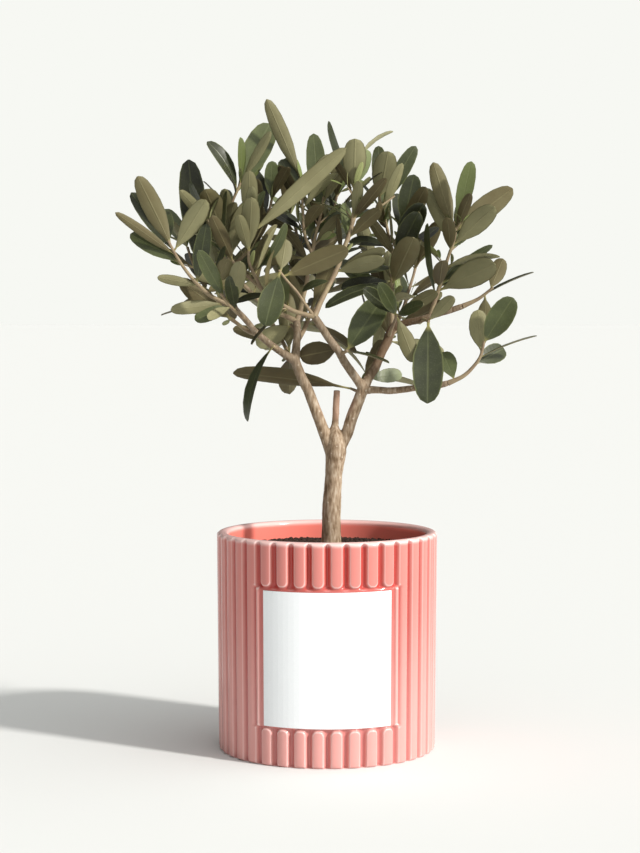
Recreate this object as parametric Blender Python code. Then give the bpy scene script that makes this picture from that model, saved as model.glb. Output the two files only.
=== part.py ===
"""A young olive tree in a ribbed, glazed cachepot with a square label panel.

Sizes are in millimetres and degrees; the functions that make meshes turn them into metres.
The origin is at the middle of the pot's flat underside, X runs to the right of the label,
Y runs away from the label's side and Z is up.
"""

import math
import random

import bmesh
import bpy
from mathutils import Matrix, Vector
from mathutils.bvhtree import BVHTree

MM = 0.001
WELD = 0.00001
UPRIGHT = 0.05
STRAIGHT = 0.01
CLEARANCE = 0.3

# Pot: a turned wall whose outside is pressed into ribs, with a smooth square panel for the label
POT_RADIUS = 65.0
POT_HEIGHT = 129.7
POT_FLARE = 0.014
POT_WALL = 6.2
POT_FLOOR = 7.0
RIB_COUNT = 38
RIB_DEPTHS = (1.9, 0.3, 0.0)  # at a groove, a quarter of a rib away from it, and at the crest
GROOVE_TOP = 127.6
GROOVE_FADE = 2.4
PANEL_RIBS = 8
PANEL_DEPTH = 1.3
PANEL_BOTTOM = 21.0
PANEL_TOP = 104.2
PANEL_EDGE = 0.6
FOOT_ROUNDING = 2.0
RIM_ROUNDING = 2.0

# Label: a thin square sheet on the panel
LABEL_WIDTH = 77.2
LABEL_BOTTOM = 23.1
LABEL_TOP = 101.2
LABEL_THICKNESS = 0.4
LABEL_COLUMNS = 24

# Soil
SOIL_TOP = 118.3
SOIL_SIDES = 76

# Leaf: (share along it, share of its width) of the sections between its root and its tip
LEAF_SECTIONS = ((0.0, 0.1), (0.22, 0.62), (0.54, 1.0), (0.86, 0.74))
LEAF_SLIMNESS = (0.23, 0.32)
LEAF_THICKNESS = 0.016
LEAF_FOLD = 12.0
LEAF_GAP = 0.45
LEAF_TRIES = 16
NEARBY = 8.0
TRY_WIDENING = 1 / 6
TRY_SHORTENING = 1 / 60
BLADE_CURL = 14.0
UPPER_FACES = {
    "upper": (0.0, -1.0, 0.25),
    "under": (0.0, 1.0, 0.1),
    "edge": (0.0, 0.0, 1.0),
    "over": (0.0, 0.8, 0.6),
    "left": (-0.9, -0.5, 0.0),
    "right": (0.7, -0.7, 0.2),
    "arch": (-0.6, 0.3, 0.75),
    "roof": (0.0, -0.7, 0.7),
}
BLADE_START = 0.2
ROOT_DEPTH = 1.2

# Growth rule of a shoot: pairs of leaves, each pair turned a quarter from the last
INTERNODE = 13.0
INTERNODE_RANGE = (0.8, 1.2)
PAIR_TURN = 90.0
PAIR_STRAY = 15.0
SPREAD_AT_FOOT = 66.0
SPREAD_AT_TIP = 30.0
SPREAD_STRAY = 12.0
TURN_STRAY = 18.0
ROLL_STRAY = 35.0
LENGTH_RANGE = (0.8, 1.15)
TIP_SHORTENING = 0.25
CURL_RANGE = (-8.0, 32.0)
STEP = 9.0
WANDER = 0.5
END = 1000.0

SCRAP_POINTS = 12
SHARP_ANGLE = 35.0

TWIG_RESOLUTION = 0
BOUGH_RESOLUTION = 2
TRUNK_RESOLUTION = 4

BARK = ("bark", (0.36, 0.29, 0.22), 0.85)
GLAZE = ("pink_glaze", (0.72, 0.27, 0.24), 0.18)
PAPER = ("label_paper", (0.93, 0.93, 0.92), 0.6)
SOIL = ("potting_soil", (0.035, 0.022, 0.016), 0.95)
LEAF = ("olive_leaf", (0.13, 0.15, 0.07), 0.5)


def limb(on, tip, at=END, bow=(0, 0, 0), thick=4.5, thin=3.3):
    """A bare bough that runs from this distance along another limb to its tip, bowed by so much midway."""
    return {"on": on, "at": at, "tip": tip, "bow": bow, "thick": thick, "thin": thin}


def shoot(on, tip, at=END, bow=(0, 0, 0), thick=2.5, thin=1.5, bare=6, leaf=44, seed=1, blades=()):
    """A leafy stem, bare up to a distance from its foot, with leaves of about this length by the rule."""
    row = limb(on, tip, at, bow, thick, thin)
    row.update({"bare": bare, "leaf": leaf, "seed": seed, "blades": blades})
    return row


def blade(at, tip, width, shows="upper", curl=BLADE_CURL):
    """A leaf in plain sight, from this distance along its stem to its tip, and the face that it shows."""
    return {"at": at, "tip": tip, "width": width, "shows": shows, "curl": curl}


# The trunk from the soil to the cut end of its leader: height above the soil, shift to the right, thickness
TRUNK_FOOT = SOIL_TOP + CLEARANCE
TRUNK_COURSE = (
    (0.0, 2.4, 14.4),
    (3.5, 2.5, 12.4),
    (8.0, 2.6, 11.6),
    (17.0, 2.6, 11.1),
    (26.0, 2.8, 11.3),
    (35.0, 3.4, 10.4),
    (44.0, 4.0, 10.2),
    (52.0, 4.7, 11.4),
    (58.0, 5.2, 12.8),
    (63.0, 5.2, 12.6),
    (68.0, 4.8, 10.0),
    (72.0, 4.6, 5.6),
    (76.0, 4.9, 4.1),
    (94.5, 5.9, 3.9),
)

LIMBS = {
    "left_bough": limb("trunk", (-19, -3, 231), at=52, bow=(1, 0, 0), thick=7.4, thin=5.8),
    "right_bough": limb("trunk", (21.5, 0, 214.5), at=53, bow=(0.3, 0, 0), thick=7.6, thin=6.8),
    "low_left_bough": limb("left_bough", (-54, -14, 262), bow=(-1, 0, -2), thick=4.6, thin=3.4),
    "high_left_bough": limb("left_bough", (-18, 6, 254), bow=(1, 0, 0), thick=5.0, thin=4.4),
    "inner_bough": limb("right_bough", (-7.5, -18, 257), bow=(-1, 0, 1), thick=5.2, thin=4.4),
    "outer_bough": limb("right_bough", (39, 14, 250), bow=(1, 0, -1), thick=5.6, thin=5.0),
    "low_right_bough": limb("right_bough", (70.5, -22, 218.4), at=45, bow=(0, 0, -1.5), thick=4.4, thin=3.4),
    "long_right_bough": limb("outer_bough", (80.5, 2, 263), thick=4.6, thin=3.4),
}

MASSES = {
    "far_left_leaves": (
        shoot(
            "low_left_bough", (-92, -24, 301), bow=(-3, 0, -5), thick=2.8, bare=100,
            blades=(
                blade(47, (-122, -30, 317), 6, shows="under"),
                blade(42, (-114.6, -16, 305), 10),
                blade(52, (-109.5, -26, 338), 12, shows="under"),
                blade(50, (-69.5, -34, 324), 12, shows="under"),
                blade(25, (-98.4, -24, 279.8), 6, shows="under"),
                blade(6, (-90.4, -28, 261), 8, shows="under"),
                blade(49, (-114, -16, 329), 9),
                blade(END, (-95, -14, 319), 9),
                blade(27, (-69.5, -28, 310.5), 10),
                blade(3, (-77, -20, 255), 9),
                blade(2, (-69, -34, 256.5), 6, shows="under"),
            ),
        ),
    ),
    "left_back_leaves": (
        shoot(
            "low_left_bough", (-83, 10, 298), at=26, bow=(-4, 6, -8), thick=2.5, bare=22, leaf=42, seed=77,
            blades=(
                blade(53, (-82, 8, 349.5), 16),
            ),
        ),
        shoot(0, (-62, 44, 296), at=34, bow=(0, 4, -3), thick=1.9, bare=8, leaf=42, seed=54),
    ),
    "upper_left_leaves": (
        shoot(
            "high_left_bough", (-51, 6, 336), bow=(-22, 0, -8), thick=3.0, bare=30, leaf=40, seed=50,
            blades=(
                blade(97, (-70.5, 0, 359.5), 11, shows="right", curl=50),
                blade(96, (-34, 28, 372), 17),
                blade(END, (-33, -8, 365), 6, shows="under"),
                blade(64, (-71, -14, 331), 15, shows="under"),
                blade(END, (-51, -2, 362), 7, shows="right"),
                blade(72, (-60, -10, 331.5), 8, shows="under"),
            ),
        ),
        shoot(
            0, (-33, 16, 326), at=52, bow=(3, 0, -3), thick=1.9, bare=10, leaf=38, seed=390,
            blades=(
                blade(END, (-32.5, 14, 349), 9),
            ),
        ),
    ),
    "mid_left_leaves": (
        shoot(
            "inner_bough", (-45, -18, 311), bow=(-13, -2, -9), thick=2.8, bare=16, leaf=36, seed=73,
            blades=(
                blade(68, (11, -14, 355), 10.5, shows="under", curl=8),
                blade(END, (-45, -28, 341), 10, shows="under"),
                blade(58, (-43.5, -34, 325.5), 11, shows="under"),
                blade(46, (-24, -34, 311), 8, shows="right", curl=45),
            ),
        ),
        shoot(0, (-69, -12, 312), at=35, bow=(-2, 0, -3), thick=1.9, bare=10, leaf=36, seed=470),
    ),
    "inner_top_leaves": (
        shoot(
            "inner_bough", (16.5, 2, 318), bow=(2, 0, 0), thick=3.2, thin=2.4, bare=30, leaf=34, seed=264,
            blades=(
                blade(30, (33.6, -22, 296), 8, shows="under"),
                blade(24, (-14.5, -4, 272), 7, shows="roof", curl=40),
            ),
        ),
        shoot(0, (40, 4, 328), at=57, thick=1.7, thin=1.2, bare=60),
        shoot(
            0, (16, 0, 333), at=60, thick=1.8, thin=1.4, bare=4, leaf=34, seed=347,
            blades=(
                blade(END, (16.4, -4, 361), 14, shows="under"),
                blade(END, (1, 14, 372.5), 8, shows="left"),
                blade(END, (39.5, 22, 367), 8, shows="arch", curl=70),
                blade(END, (23.5, 8, 355.5), 10),
            ),
        ),
    ),
    "inner_low_leaves": (
        shoot(
            "inner_bough", (-28, -25, 284), bow=(0, 0, 1), thick=1.8, thin=1.4, bare=60,
            blades=(
                blade(30, (12, -32, 296), 13, shows="under"),
                blade(END, (-35.5, -40, 252), 15, curl=30),
                blade(33, (-24, -14, 302), 10, shows="under"),
            ),
        ),
    ),
    "centre_top_leaves": (
        shoot(
            "high_left_bough", (-2, 19, 328), bow=(0, 0, -4), thick=3.0, bare=34, leaf=38, seed=48,
            blades=(
                blade(66, (-8, 34, 366.5), 12),
            ),
        ),
        shoot(
            0, (-14, 14, 336), at=42, bow=(-3, 0, -2), thick=2.0, bare=14, leaf=36, seed=175,
            blades=(
                blade(END, (-35.7, 8, 385), 9.5, shows="under"),
                blade(36, (-27.5, 18, 350), 10),
            ),
        ),
        shoot(0, (-22, 44, 318), at=36, bow=(0, 0, -4), thick=1.9, bare=8, leaf=40, seed=199),
    ),
    "outer_up_leaves": (
        shoot(
            "outer_bough", (47, 20, 316), bow=(-3, 0, 0), thick=3.2, bare=14, leaf=40, seed=434,
            blades=(
                blade(26, (50, -24, 302.7), 15, shows="under"),
                blade(62, (52, 14, 341), 13),
                blade(50, (57, -4, 323), 14),
                blade(42, (54, -8, 318), 13),
                blade(24, (-1, -4, 262), 9, shows="roof", curl=55),
                blade(36, (13, 4, 283), 9, shows="roof"),
                blade(28, (8.5, 12, 273.5), 11),
            ),
        ),
        shoot(
            0, (31, 12, 328), at=38, bow=(1, 0, -2), thick=2.0, bare=10, leaf=38, seed=16,
            blades=(
                blade(END, (36, 2, 354), 14.5, shows="under"),
                blade(36, (53, 18, 358), 10),
                blade(END, (31, 24, 358.5), 9),
            ),
        ),
    ),
    "right_up_leaves": (
        shoot(
            "long_right_bough", (76.5, 2, 310), at=24, bow=(1, 0, 0), thick=2.6, bare=18, leaf=38, seed=396,
            blades=(
                blade(53, (110, 8, 332.5), 14, shows="under"),
                blade(44, (98, -10, 321), 13, shows="under"),
                blade(51, (63, 10, 348), 10.5, shows="under"),
                blade(46, (59, 14, 333), 9, shows="under"),
                blade(55, (85, 0, 348), 10),
                blade(16, (98, -14, 287.7), 16, shows="under"),
                blade(20, (98.5, 12, 299), 7, shows="roof"),
                blade(12, (59, -6, 311.5), 8, shows="left"),
            ),
        ),
    ),
    "right_tip_leaves": (
        shoot(
            "long_right_bough", (98, -1, 274), bow=(1, 0, -1), thick=2.8, bare=40,
            blades=(
                blade(9, (123, 12, 283), 8, shows="edge"),
                blade(19, (104, 2, 291), 10, shows="under"),
                blade(15, (94, 8, 246), 10, shows="under"),
            ),
        ),
    ),
    "low_right_leaves": (
        shoot(
            "low_right_bough", (91, -27, 243), bow=(4, 0, -3), thick=2.8, bare=100,
            blades=(
                blade(24, (121.5, -26, 246), 8, shows="edge"),
                blade(33, (107.4, -30, 268), 15),
                blade(27, (88, -18, 261), 12, shows="under"),
                blade(19, (104, -8, 238), 12),
                blade(4, (68, -10, 236), 11),
            ),
        ),
    ),
    "hanging_right_leaves": (
        shoot(
            "long_right_bough", (60, -5, 254), at=19, thick=1.9, thin=1.5, bare=60,
            blades=(
                blade(END, (58, -30, 207), 18.5),
                blade(END, (74, -14, 268.5), 8, shows="under"),
            ),
        ),
    ),
    "inner_spur_leaves": (
        shoot(
            "inner_bough", (12, -14, 237), at=26, thick=2.0, thin=1.7, bare=60,
            blades=(
                blade(END, (33, -6, 267.6), 17),
                blade(END, (36, -22, 230), 11, shows="edge"),
            ),
        ),
    ),
    "inner_low_spur_leaf": (
        shoot(
            "inner_bough", (7, -2, 238), at=28, thick=2.0, thin=1.7, bare=60,
            blades=(
                blade(END, (-16, 2, 233), 14, shows="under"),
            ),
        ),
    ),
    "low_left_spur_leaf": (
        shoot(
            "right_bough", (14, 7, 214), at=43, thick=1.8, thin=1.5, bare=60,
            blades=(
                blade(END, (-56, 10, 223), 13, shows="over", curl=14),
            ),
        ),
    ),
    "hanging_left_leaves": (
        shoot(
            "low_left_bough", (-32, -12, 240), at=12, thick=1.8, thin=1.5, bare=60,
            blades=(
                blade(END, (-46.5, -16, 195.7), 12, shows="left", curl=45),
            ),
        ),
    ),
    "left_spur_leaf": (
        shoot(
            "high_left_bough", (-21.5, 10, 252), at=18, thick=1.8, thin=1.5, bare=60,
            blades=(
                blade(END, (-42, 12, 239.5), 12, shows="under"),
            ),
        ),
    ),
    "right_spur_leaf": (
        shoot(
            "outer_bough", (26, 7, 220), at=4, thick=1.8, thin=1.5, bare=60,
            blades=(
                blade(END, (45, 20, 222), 9),
            ),
        ),
    ),
    "back_left_leaves": (
        shoot("left_bough", (-46, 52, 280), at=55, bow=(0, 4, -2), thick=3.0, bare=20, leaf=42, seed=439),
        shoot(0, (-20, 66, 282), at=38, bow=(0, 0, -4), thick=1.9, bare=6, leaf=40, seed=151),
    ),
    "back_right_leaves": (
        shoot("outer_bough", (56, 60, 292), at=22, bow=(0, 4, -8), thick=3.0, bare=20, leaf=42, seed=288),
        shoot(0, (28, 70, 288), at=38, bow=(0, 0, -4), thick=1.9, bare=6, leaf=40, seed=450),
    ),
    "back_middle_leaves": (
        shoot("high_left_bough", (4, 58, 308), at=12, bow=(0, 4, -8), thick=3.0, bare=22, leaf=42, seed=300),
        shoot(0, (6, 40, 330), at=46, bow=(0, 4, -4), thick=1.9, bare=8, leaf=38, seed=16),
    ),
    "low_back_leaves": (
        shoot("right_bough", (34, 46, 256), at=34, bow=(0, 2, -6), thick=2.6, bare=18, leaf=38, seed=335),
    ),
    "front_left_leaves": (
        shoot(
            "low_left_bough", (-65, -38, 276), at=40, bow=(0, -3, -2), thick=2.2, bare=60,
            blades=(
                blade(END, (-58, -42, 297.5), 7, shows="left"),
                blade(END, (-56, -50, 290), 9, shows="under"),
                blade(12, (-56, -46, 280.5), 8),
                blade(26, (-73, -52, 295), 9),
                blade(18, (-49, -60, 288.5), 10, shows="under"),
            ),
        ),
    ),
    "front_right_leaves": (
        shoot(
            "outer_bough", (41, -12, 258), at=36, thick=2.3, thin=1.8, bare=60,
            blades=(
                blade(END, (21, -24, 273.5), 9),
                blade(END, (29.5, -36, 276.5), 9),
                blade(END, (51, -16, 230.5), 10, shows="under"),
                blade(END, (63.5, -28, 271.5), 8, shows="under", curl=30),
                blade(END, (55, -44, 264.5), 8),
            ),
        ),
    ),
}


def course(name, row, foot):
    """Points from the foot to the tip, bowed midway and with small seeded knees."""
    dice = random.Random(name)
    tip = Vector(row["tip"])
    count = max(1, round((tip - foot).length / STEP))
    points = [foot.copy()]
    for step in range(1, count):
        share = step / count
        knee = Vector([either_way(dice, WANDER) for _ in range(3)])
        points.append(foot.lerp(tip, share) + Vector(row["bow"]) * (4 * share * (1 - share)) + knee)
    points.append(tip)
    return points


def course_length(points):
    return sum((second - first).length for first, second in zip(points, points[1:]))


def place_on(points, distance):
    """The point and direction at this distance along a course, or at its end."""
    for first, second in zip(points, points[1:]):
        stretch = (second - first).length
        direction = (second - first) / stretch
        if distance <= stretch:
            return first + direction * distance, direction
        distance -= stretch
    return points[-1].copy(), direction


def tapered(points, row):
    """Radii that run evenly from half the limb's thickness at its foot to half that at its tip."""
    whole = course_length(points)
    run = 0.0
    radii = [row["thick"] / 2]
    for first, second in zip(points, points[1:]):
        run += (second - first).length
        radii.append((row["thick"] + (row["thin"] - row["thick"]) * run / whole) / 2)
    return radii


def across(direction):
    """A direction at right angles to this one, level where that can be."""
    aside = direction.cross(Vector((0, 0, 1)))
    if aside.length < UPRIGHT:
        aside = direction.cross(Vector((1, 0, 0)))
    return aside.normalized()


def turned(direction, axis, degrees):
    return Matrix.Rotation(math.radians(degrees), 3, axis) @ direction


def either_way(dice, most):
    return dice.uniform(-most, most)


def leaf_frame(root, direction, upper, length, width, curl):
    """A leaf as it leaves its stem: curl is how far it bends away from its upper face by its tip."""
    frame = {"root": root, "direction": direction, "upper": upper}
    frame.update({"length": length, "width": width, "curl": curl})
    return frame


def placed_blade(root, row):
    """The leaf that reaches from its root to the given tip and shows the named face to the front."""
    chord = Vector(row["tip"]) - root
    reach = chord.length
    chord.normalize()
    upper = Vector(UPPER_FACES[row["shows"]])
    upper = (upper - chord * upper.dot(chord)).normalized()
    aside = chord.cross(upper)
    half = math.radians(row["curl"]) / 2
    length = reach * half / math.sin(half)
    direction = turned(chord, aside, row["curl"] / 2)
    upper = turned(upper, aside, row["curl"] / 2)
    return leaf_frame(root, direction, upper, length, row["width"], row["curl"])


def rule_leaf(name, row, number, half, root, forward, azimuth, share, attempt):
    """One try at a leaf of a shoot: the later the try, the wider it strays and the shorter it is."""
    dice = random.Random(f"{name}/{row['seed']}/{number}/{half}/{attempt}")
    stray = 1 + attempt * TRY_WIDENING
    spread = SPREAD_AT_FOOT + (SPREAD_AT_TIP - SPREAD_AT_FOOT) * share + either_way(dice, SPREAD_STRAY) * stray
    outward = turned(across(forward), forward, azimuth + half + either_way(dice, TURN_STRAY) * stray)
    aside = forward.cross(outward)
    direction = turned(forward, aside, spread)
    upper = turned(turned(-outward, aside, spread), direction, either_way(dice, ROLL_STRAY) * stray)
    length = row["leaf"] * dice.uniform(*LENGTH_RANGE)
    length *= (1 - TIP_SHORTENING * share) * (1 - attempt * TRY_SHORTENING)
    width = length * dice.uniform(*LEAF_SLIMNESS)
    return leaf_frame(root, direction, upper, length, width, dice.uniform(*CURL_RANGE))


def leaf_sections(leaf, extra=0.0, start=0.0):
    """The four corners of each section of a leaf, and its tip, all grown outwards by an extra."""
    aside = leaf["direction"].cross(leaf["upper"])
    half_thickness = leaf["length"] * LEAF_THICKNESS / 2 + extra
    rings = []
    stations = [section for section in LEAF_SECTIONS if section[0] >= start] + [(1.0, 0.0)]
    for along, broad in stations:
        angle = (leaf["curl"] or STRAIGHT) * along
        bend = math.radians(angle)
        reach = leaf["length"] * along
        centre = leaf["root"].copy()
        if along:
            centre += leaf["direction"] * (reach * math.sin(bend) / bend)
            centre -= leaf["upper"] * (reach * (1 - math.cos(bend)) / bend)
        facing = turned(leaf["upper"], aside, -angle)
        if not broad:
            rings.append([centre + turned(leaf["direction"], aside, -angle) * extra])
            continue
        half_width = leaf["width"] * broad / 2 + extra
        raised = facing * (half_width * math.sin(math.radians(LEAF_FOLD)))
        edge = aside * (half_width * math.cos(math.radians(LEAF_FOLD)))
        rings.append([
            centre - edge + raised,
            centre + facing * half_thickness,
            centre + edge + raised,
            centre - facing * half_thickness,
        ])
    return rings


def leaf_shell(leaf, extra=0.0, start=0.0):
    """Points in metres and faces of a leaf's closed skin."""
    rings = leaf_sections(leaf, extra, start)
    points = [point * MM for ring in rings for point in ring]
    faces = [(3, 2, 1, 0)]
    for ring in range(len(rings) - 2):
        for corner in range(4):
            following = (corner + 1) % 4
            first = ring * 4
            faces.append((first + corner, first + following, first + 4 + following, first + 4 + corner))
    last = (len(rings) - 2) * 4
    for corner in range(4):
        faces.append((last + corner, last + (corner + 1) % 4, last + 4))
    return points, faces


def leaf_mesh(leaf):
    points, faces = leaf_shell(leaf)
    mesh = bpy.data.meshes.new("leaf")
    mesh.from_pydata(points, [], faces)
    mesh.update()
    return mesh


def tube_mesh(points, radii, resolution):
    """A closed tube in metres along points in millimetres, made by a bevelled curve."""
    curve = bpy.data.curves.new("tube", "CURVE")
    curve.dimensions = "3D"
    curve.bevel_depth = MM
    curve.bevel_resolution = resolution
    curve.use_fill_caps = True
    spline = curve.splines.new("POLY")
    spline.points.add(len(points) - 1)
    for knot, point, radius in zip(spline.points, points, radii):
        knot.co = (*(point * MM), 1.0)
        knot.radius = radius
    holder = bpy.data.objects.new("tube", curve)
    bpy.context.scene.collection.objects.link(holder)
    graph = bpy.context.evaluated_depsgraph_get()
    mesh = bpy.data.meshes.new_from_object(holder.evaluated_get(graph))
    bpy.data.objects.remove(holder)
    bpy.data.curves.remove(curve)
    body = bmesh.new()
    body.from_mesh(mesh)
    bmesh.ops.remove_doubles(body, verts=body.verts, dist=WELD)
    bmesh.ops.recalc_face_normals(body, faces=body.faces)
    body.to_mesh(mesh)
    body.free()
    return mesh


def grown_tube(points, radii, resolution, extra):
    """The tube with its side and both its ends moved outwards by an extra."""
    points = list(points)
    points[0] = points[0] - (points[1] - points[0]).normalized() * extra
    points[-1] = points[-1] + (points[-1] - points[-2]).normalized() * extra
    return tube_mesh(points, [radius + extra for radius in radii], resolution)


def tree_of(mesh):
    points = [point.co for point in mesh.vertices]
    return BVHTree.FromPolygons(points, [face.vertices[:] for face in mesh.polygons])


def material(finish):
    name, colour, roughness = finish
    made = bpy.data.materials.get(name)
    if made is None:
        made = bpy.data.materials.new(name)
        made.use_nodes = True
        shader = made.node_tree.nodes["Principled BSDF"]
        shader.inputs["Base Color"].default_value = (*colour, 1.0)
        shader.inputs["Roughness"].default_value = roughness
    return made


def add_object(name, mesh, finish, collection):
    mesh.materials.clear()
    mesh.materials.append(material(finish))
    made = bpy.data.objects.new(name, mesh)
    mesh.name = name
    collection.objects.link(made)
    shade(made)
    return made


def shade(made):
    made.data.shade_smooth()
    made.data.set_sharp_from_angle(angle=math.radians(SHARP_ANGLE))


def joined(target, operation, meshes):
    """Applies one Boolean of the target with all the meshes and removes what it needed."""
    holder = bpy.data.collections.new("cutters")
    bpy.context.scene.collection.children.link(holder)
    for mesh in meshes:
        helper = bpy.data.objects.new("cutter", mesh)
        helper.hide_render = True
        helper.display_type = "WIRE"
        holder.objects.link(helper)
    modifier = target.modifiers.new(operation.lower(), "BOOLEAN")
    modifier.operand_type = "COLLECTION"
    modifier.collection = holder
    modifier.operation = operation
    modifier.solver = "MANIFOLD"
    graph = bpy.context.evaluated_depsgraph_get()
    mesh = bpy.data.meshes.new_from_object(target.evaluated_get(graph))
    target.modifiers.clear()
    target.data = mesh
    for helper in list(holder.objects):
        bpy.data.objects.remove(helper)
    bpy.data.collections.remove(holder)


def without_scraps(made):
    """Drops the loose scraps of a hair's width that fusing leaves beside the one body."""
    body = bmesh.new()
    body.from_mesh(made.data)
    bodies = []
    waiting = set(body.verts)
    while waiting:
        found = {waiting.pop()}
        edge = list(found)
        while edge:
            point = edge.pop()
            for side in point.link_edges:
                other = side.other_vert(point)
                if other not in found:
                    found.add(other)
                    edge.append(other)
        waiting -= found
        bodies.append(found)
    bodies.sort(key=len)
    for scrap in bodies[:-1]:
        if len(scrap) > SCRAP_POINTS:
            raise ValueError(f"{made.name} has fallen into more than one body")
        bmesh.ops.delete(body, geom=list(scrap), context="VERTS")
    body.to_mesh(made.data)
    body.free()


def lay_out():
    """The course and radii of the trunk and of each bough and shoot, with its node and what it grows from."""
    limbs = {}
    trunk = [Vector((shift, 0.0, TRUNK_FOOT + height)) for height, shift, _ in TRUNK_COURSE]
    radii = [thickness / 2 for _, _, thickness in TRUNK_COURSE]
    limbs["trunk"] = {"node": "trunk", "on": None, "points": trunk, "radii": radii}
    rows = [(name, name, row) for name, row in LIMBS.items()]
    for mass, shoots in MASSES.items():
        rows.extend((f"{mass}.{number}", mass, row) for number, row in enumerate(shoots))
    for name, node, row in rows:
        on = f"{node}.{row['on']}" if isinstance(row["on"], int) else row["on"]
        foot = place_on(limbs[on]["points"], row["at"])[0]
        points = course(name, row, foot)
        limbs[name] = {"node": node, "on": on, "points": points, "radii": tapered(points, row), "row": row}
    return limbs


def resolution_of(name):
    if name == "trunk":
        return TRUNK_RESOLUTION
    return BOUGH_RESOLUTION if name in LIMBS else TWIG_RESOLUTION


def fits(leaf, node, wood, leaves):
    """Whether a leaf stays clear of every limb and of every leaf that is already there.

    Within its own node only the part past its root counts, since roots meet in the stem.
    """
    whole = leaf_tree(leaf, LEAF_GAP)
    beyond = leaf_tree(leaf, LEAF_GAP, BLADE_START)
    for other_node, tree in wood:
        if (beyond if other_node == node else whole).overlap(tree):
            return False
    middle = leaf["root"] + leaf["direction"] * leaf["length"] / 2
    for other_node, other, tree in leaves:
        other_middle = other["root"] + other["direction"] * other["length"] / 2
        if (middle - other_middle).length > (leaf["length"] + other["length"]) / 2 + NEARBY:
            continue
        if (beyond if other_node == node else whole).overlap(tree):
            return False
    return True


def leaf_tree(leaf, extra=0.0, start=0.0):
    return BVHTree.FromPolygons(*leaf_shell(leaf, extra, start))


def grow(limbs):
    """The leaves of each mass: first the placed ones, then pairs by the growth rule where there is room."""
    wood = [(limb_row["node"], tree_of(tube_mesh(limb_row["points"], limb_row["radii"], resolution_of(name))))
            for name, limb_row in limbs.items()]
    leaves = []
    grown = {mass: [] for mass in MASSES}
    shoots = [(name, entry) for name, entry in limbs.items() if entry["node"] in MASSES]
    for name, entry in shoots:
        for row in entry["row"]["blades"]:
            root = place_on(entry["points"], min(row["at"], course_length(entry["points"]) - ROOT_DEPTH))[0]
            leaf = placed_blade(root, row)
            leaves.append((entry["node"], leaf, leaf_tree(leaf)))
            grown[entry["node"]].append(leaf)
    for name, entry in shoots:
        row = entry["row"]
        whole = course_length(entry["points"])
        dice = random.Random(f"{name}/{row['seed']}")
        azimuth = dice.uniform(0, 180)
        run = row["bare"]
        number = 0
        while run < whole:
            root, forward = place_on(entry["points"], run)
            for half in (0, 180):
                for attempt in range(LEAF_TRIES):
                    leaf = rule_leaf(name, row, number, half, root, forward, azimuth, run / whole, attempt)
                    if fits(leaf, entry["node"], wood, leaves):
                        leaves.append((entry["node"], leaf, leaf_tree(leaf)))
                        grown[entry["node"]].append(leaf)
                        break
            run += INTERNODE * dice.uniform(*INTERNODE_RANGE)
            azimuth += PAIR_TURN + either_way(dice, PAIR_STRAY)
            number += 1
    return grown


def rib_depth(bearing, height):
    """How far the outside of the pot lies inside its full radius, at a bearing from the label's middle."""
    place = bearing / math.tau * RIB_COUNT
    column = round(abs(place - round(place)) * 2 * (len(RIB_DEPTHS) - 1))
    if round(abs(place), 3) < PANEL_RIBS / 2 and PANEL_BOTTOM < height < PANEL_TOP:
        return PANEL_DEPTH
    fade = min(1.0, max(0.0, (GROOVE_TOP - height) / GROOVE_FADE))
    return RIB_DEPTHS[column] * fade


def flare(height):
    """The pot's outside widens evenly from its foot to its rim."""
    return 1 + POT_FLARE * (height / POT_HEIGHT - 0.5)


def pot_profile():
    """Radius and height from the middle of the underside, up the outside, over the rim and down the inside."""
    levels = [(0.0, 0.0)]
    for step in range(3):
        angle = math.radians(45 * step - 90)
        level = FOOT_ROUNDING * (1 + math.sin(angle))
        levels.append((POT_RADIUS - FOOT_ROUNDING * (1 - math.cos(angle)), level))
    for height in (PANEL_BOTTOM, PANEL_TOP):
        levels.extend([(POT_RADIUS, height - PANEL_EDGE), (POT_RADIUS, height + PANEL_EDGE)])
    levels.extend([(POT_RADIUS, GROOVE_TOP - GROOVE_FADE), (POT_RADIUS, GROOVE_TOP)])
    for step in range(5):
        angle = math.radians(45 * step)
        level = POT_HEIGHT - RIM_ROUNDING * (1 - math.sin(angle))
        levels.append((POT_RADIUS - POT_WALL / 2 * (1 - math.cos(angle)), level))
    levels.extend([(POT_RADIUS - POT_WALL, POT_FLOOR), (0.0, POT_FLOOR)])
    return levels


def pot_mesh():
    """The turned wall, with the ribs and the panel pressed into its outside."""
    body = bmesh.new()
    ring = [body.verts.new((0.0, -radius * MM, height * MM)) for radius, height in pot_profile()]
    edges = [body.edges.new(pair) for pair in zip(ring, ring[1:])]
    steps = RIB_COUNT * 2 * (len(RIB_DEPTHS) - 1)
    bmesh.ops.spin(
        body, geom=ring + edges, cent=(0, 0, 0), axis=(0, 0, 1), angle=math.tau, steps=steps, use_merge=True
    )
    bmesh.ops.remove_doubles(body, verts=body.verts, dist=WELD)
    for point in body.verts:
        radius = math.hypot(point.co.x, point.co.y)
        if radius < POT_RADIUS * MM - WELD:
            continue
        height = point.co.z / MM
        depth = rib_depth(math.atan2(point.co.x, -point.co.y), height)
        point.co.xy *= (1 - depth * MM / radius) * flare(height)
    bmesh.ops.recalc_face_normals(body, faces=body.faces)
    mesh = bpy.data.meshes.new("pot")
    body.to_mesh(mesh)
    body.free()
    return mesh


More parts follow.
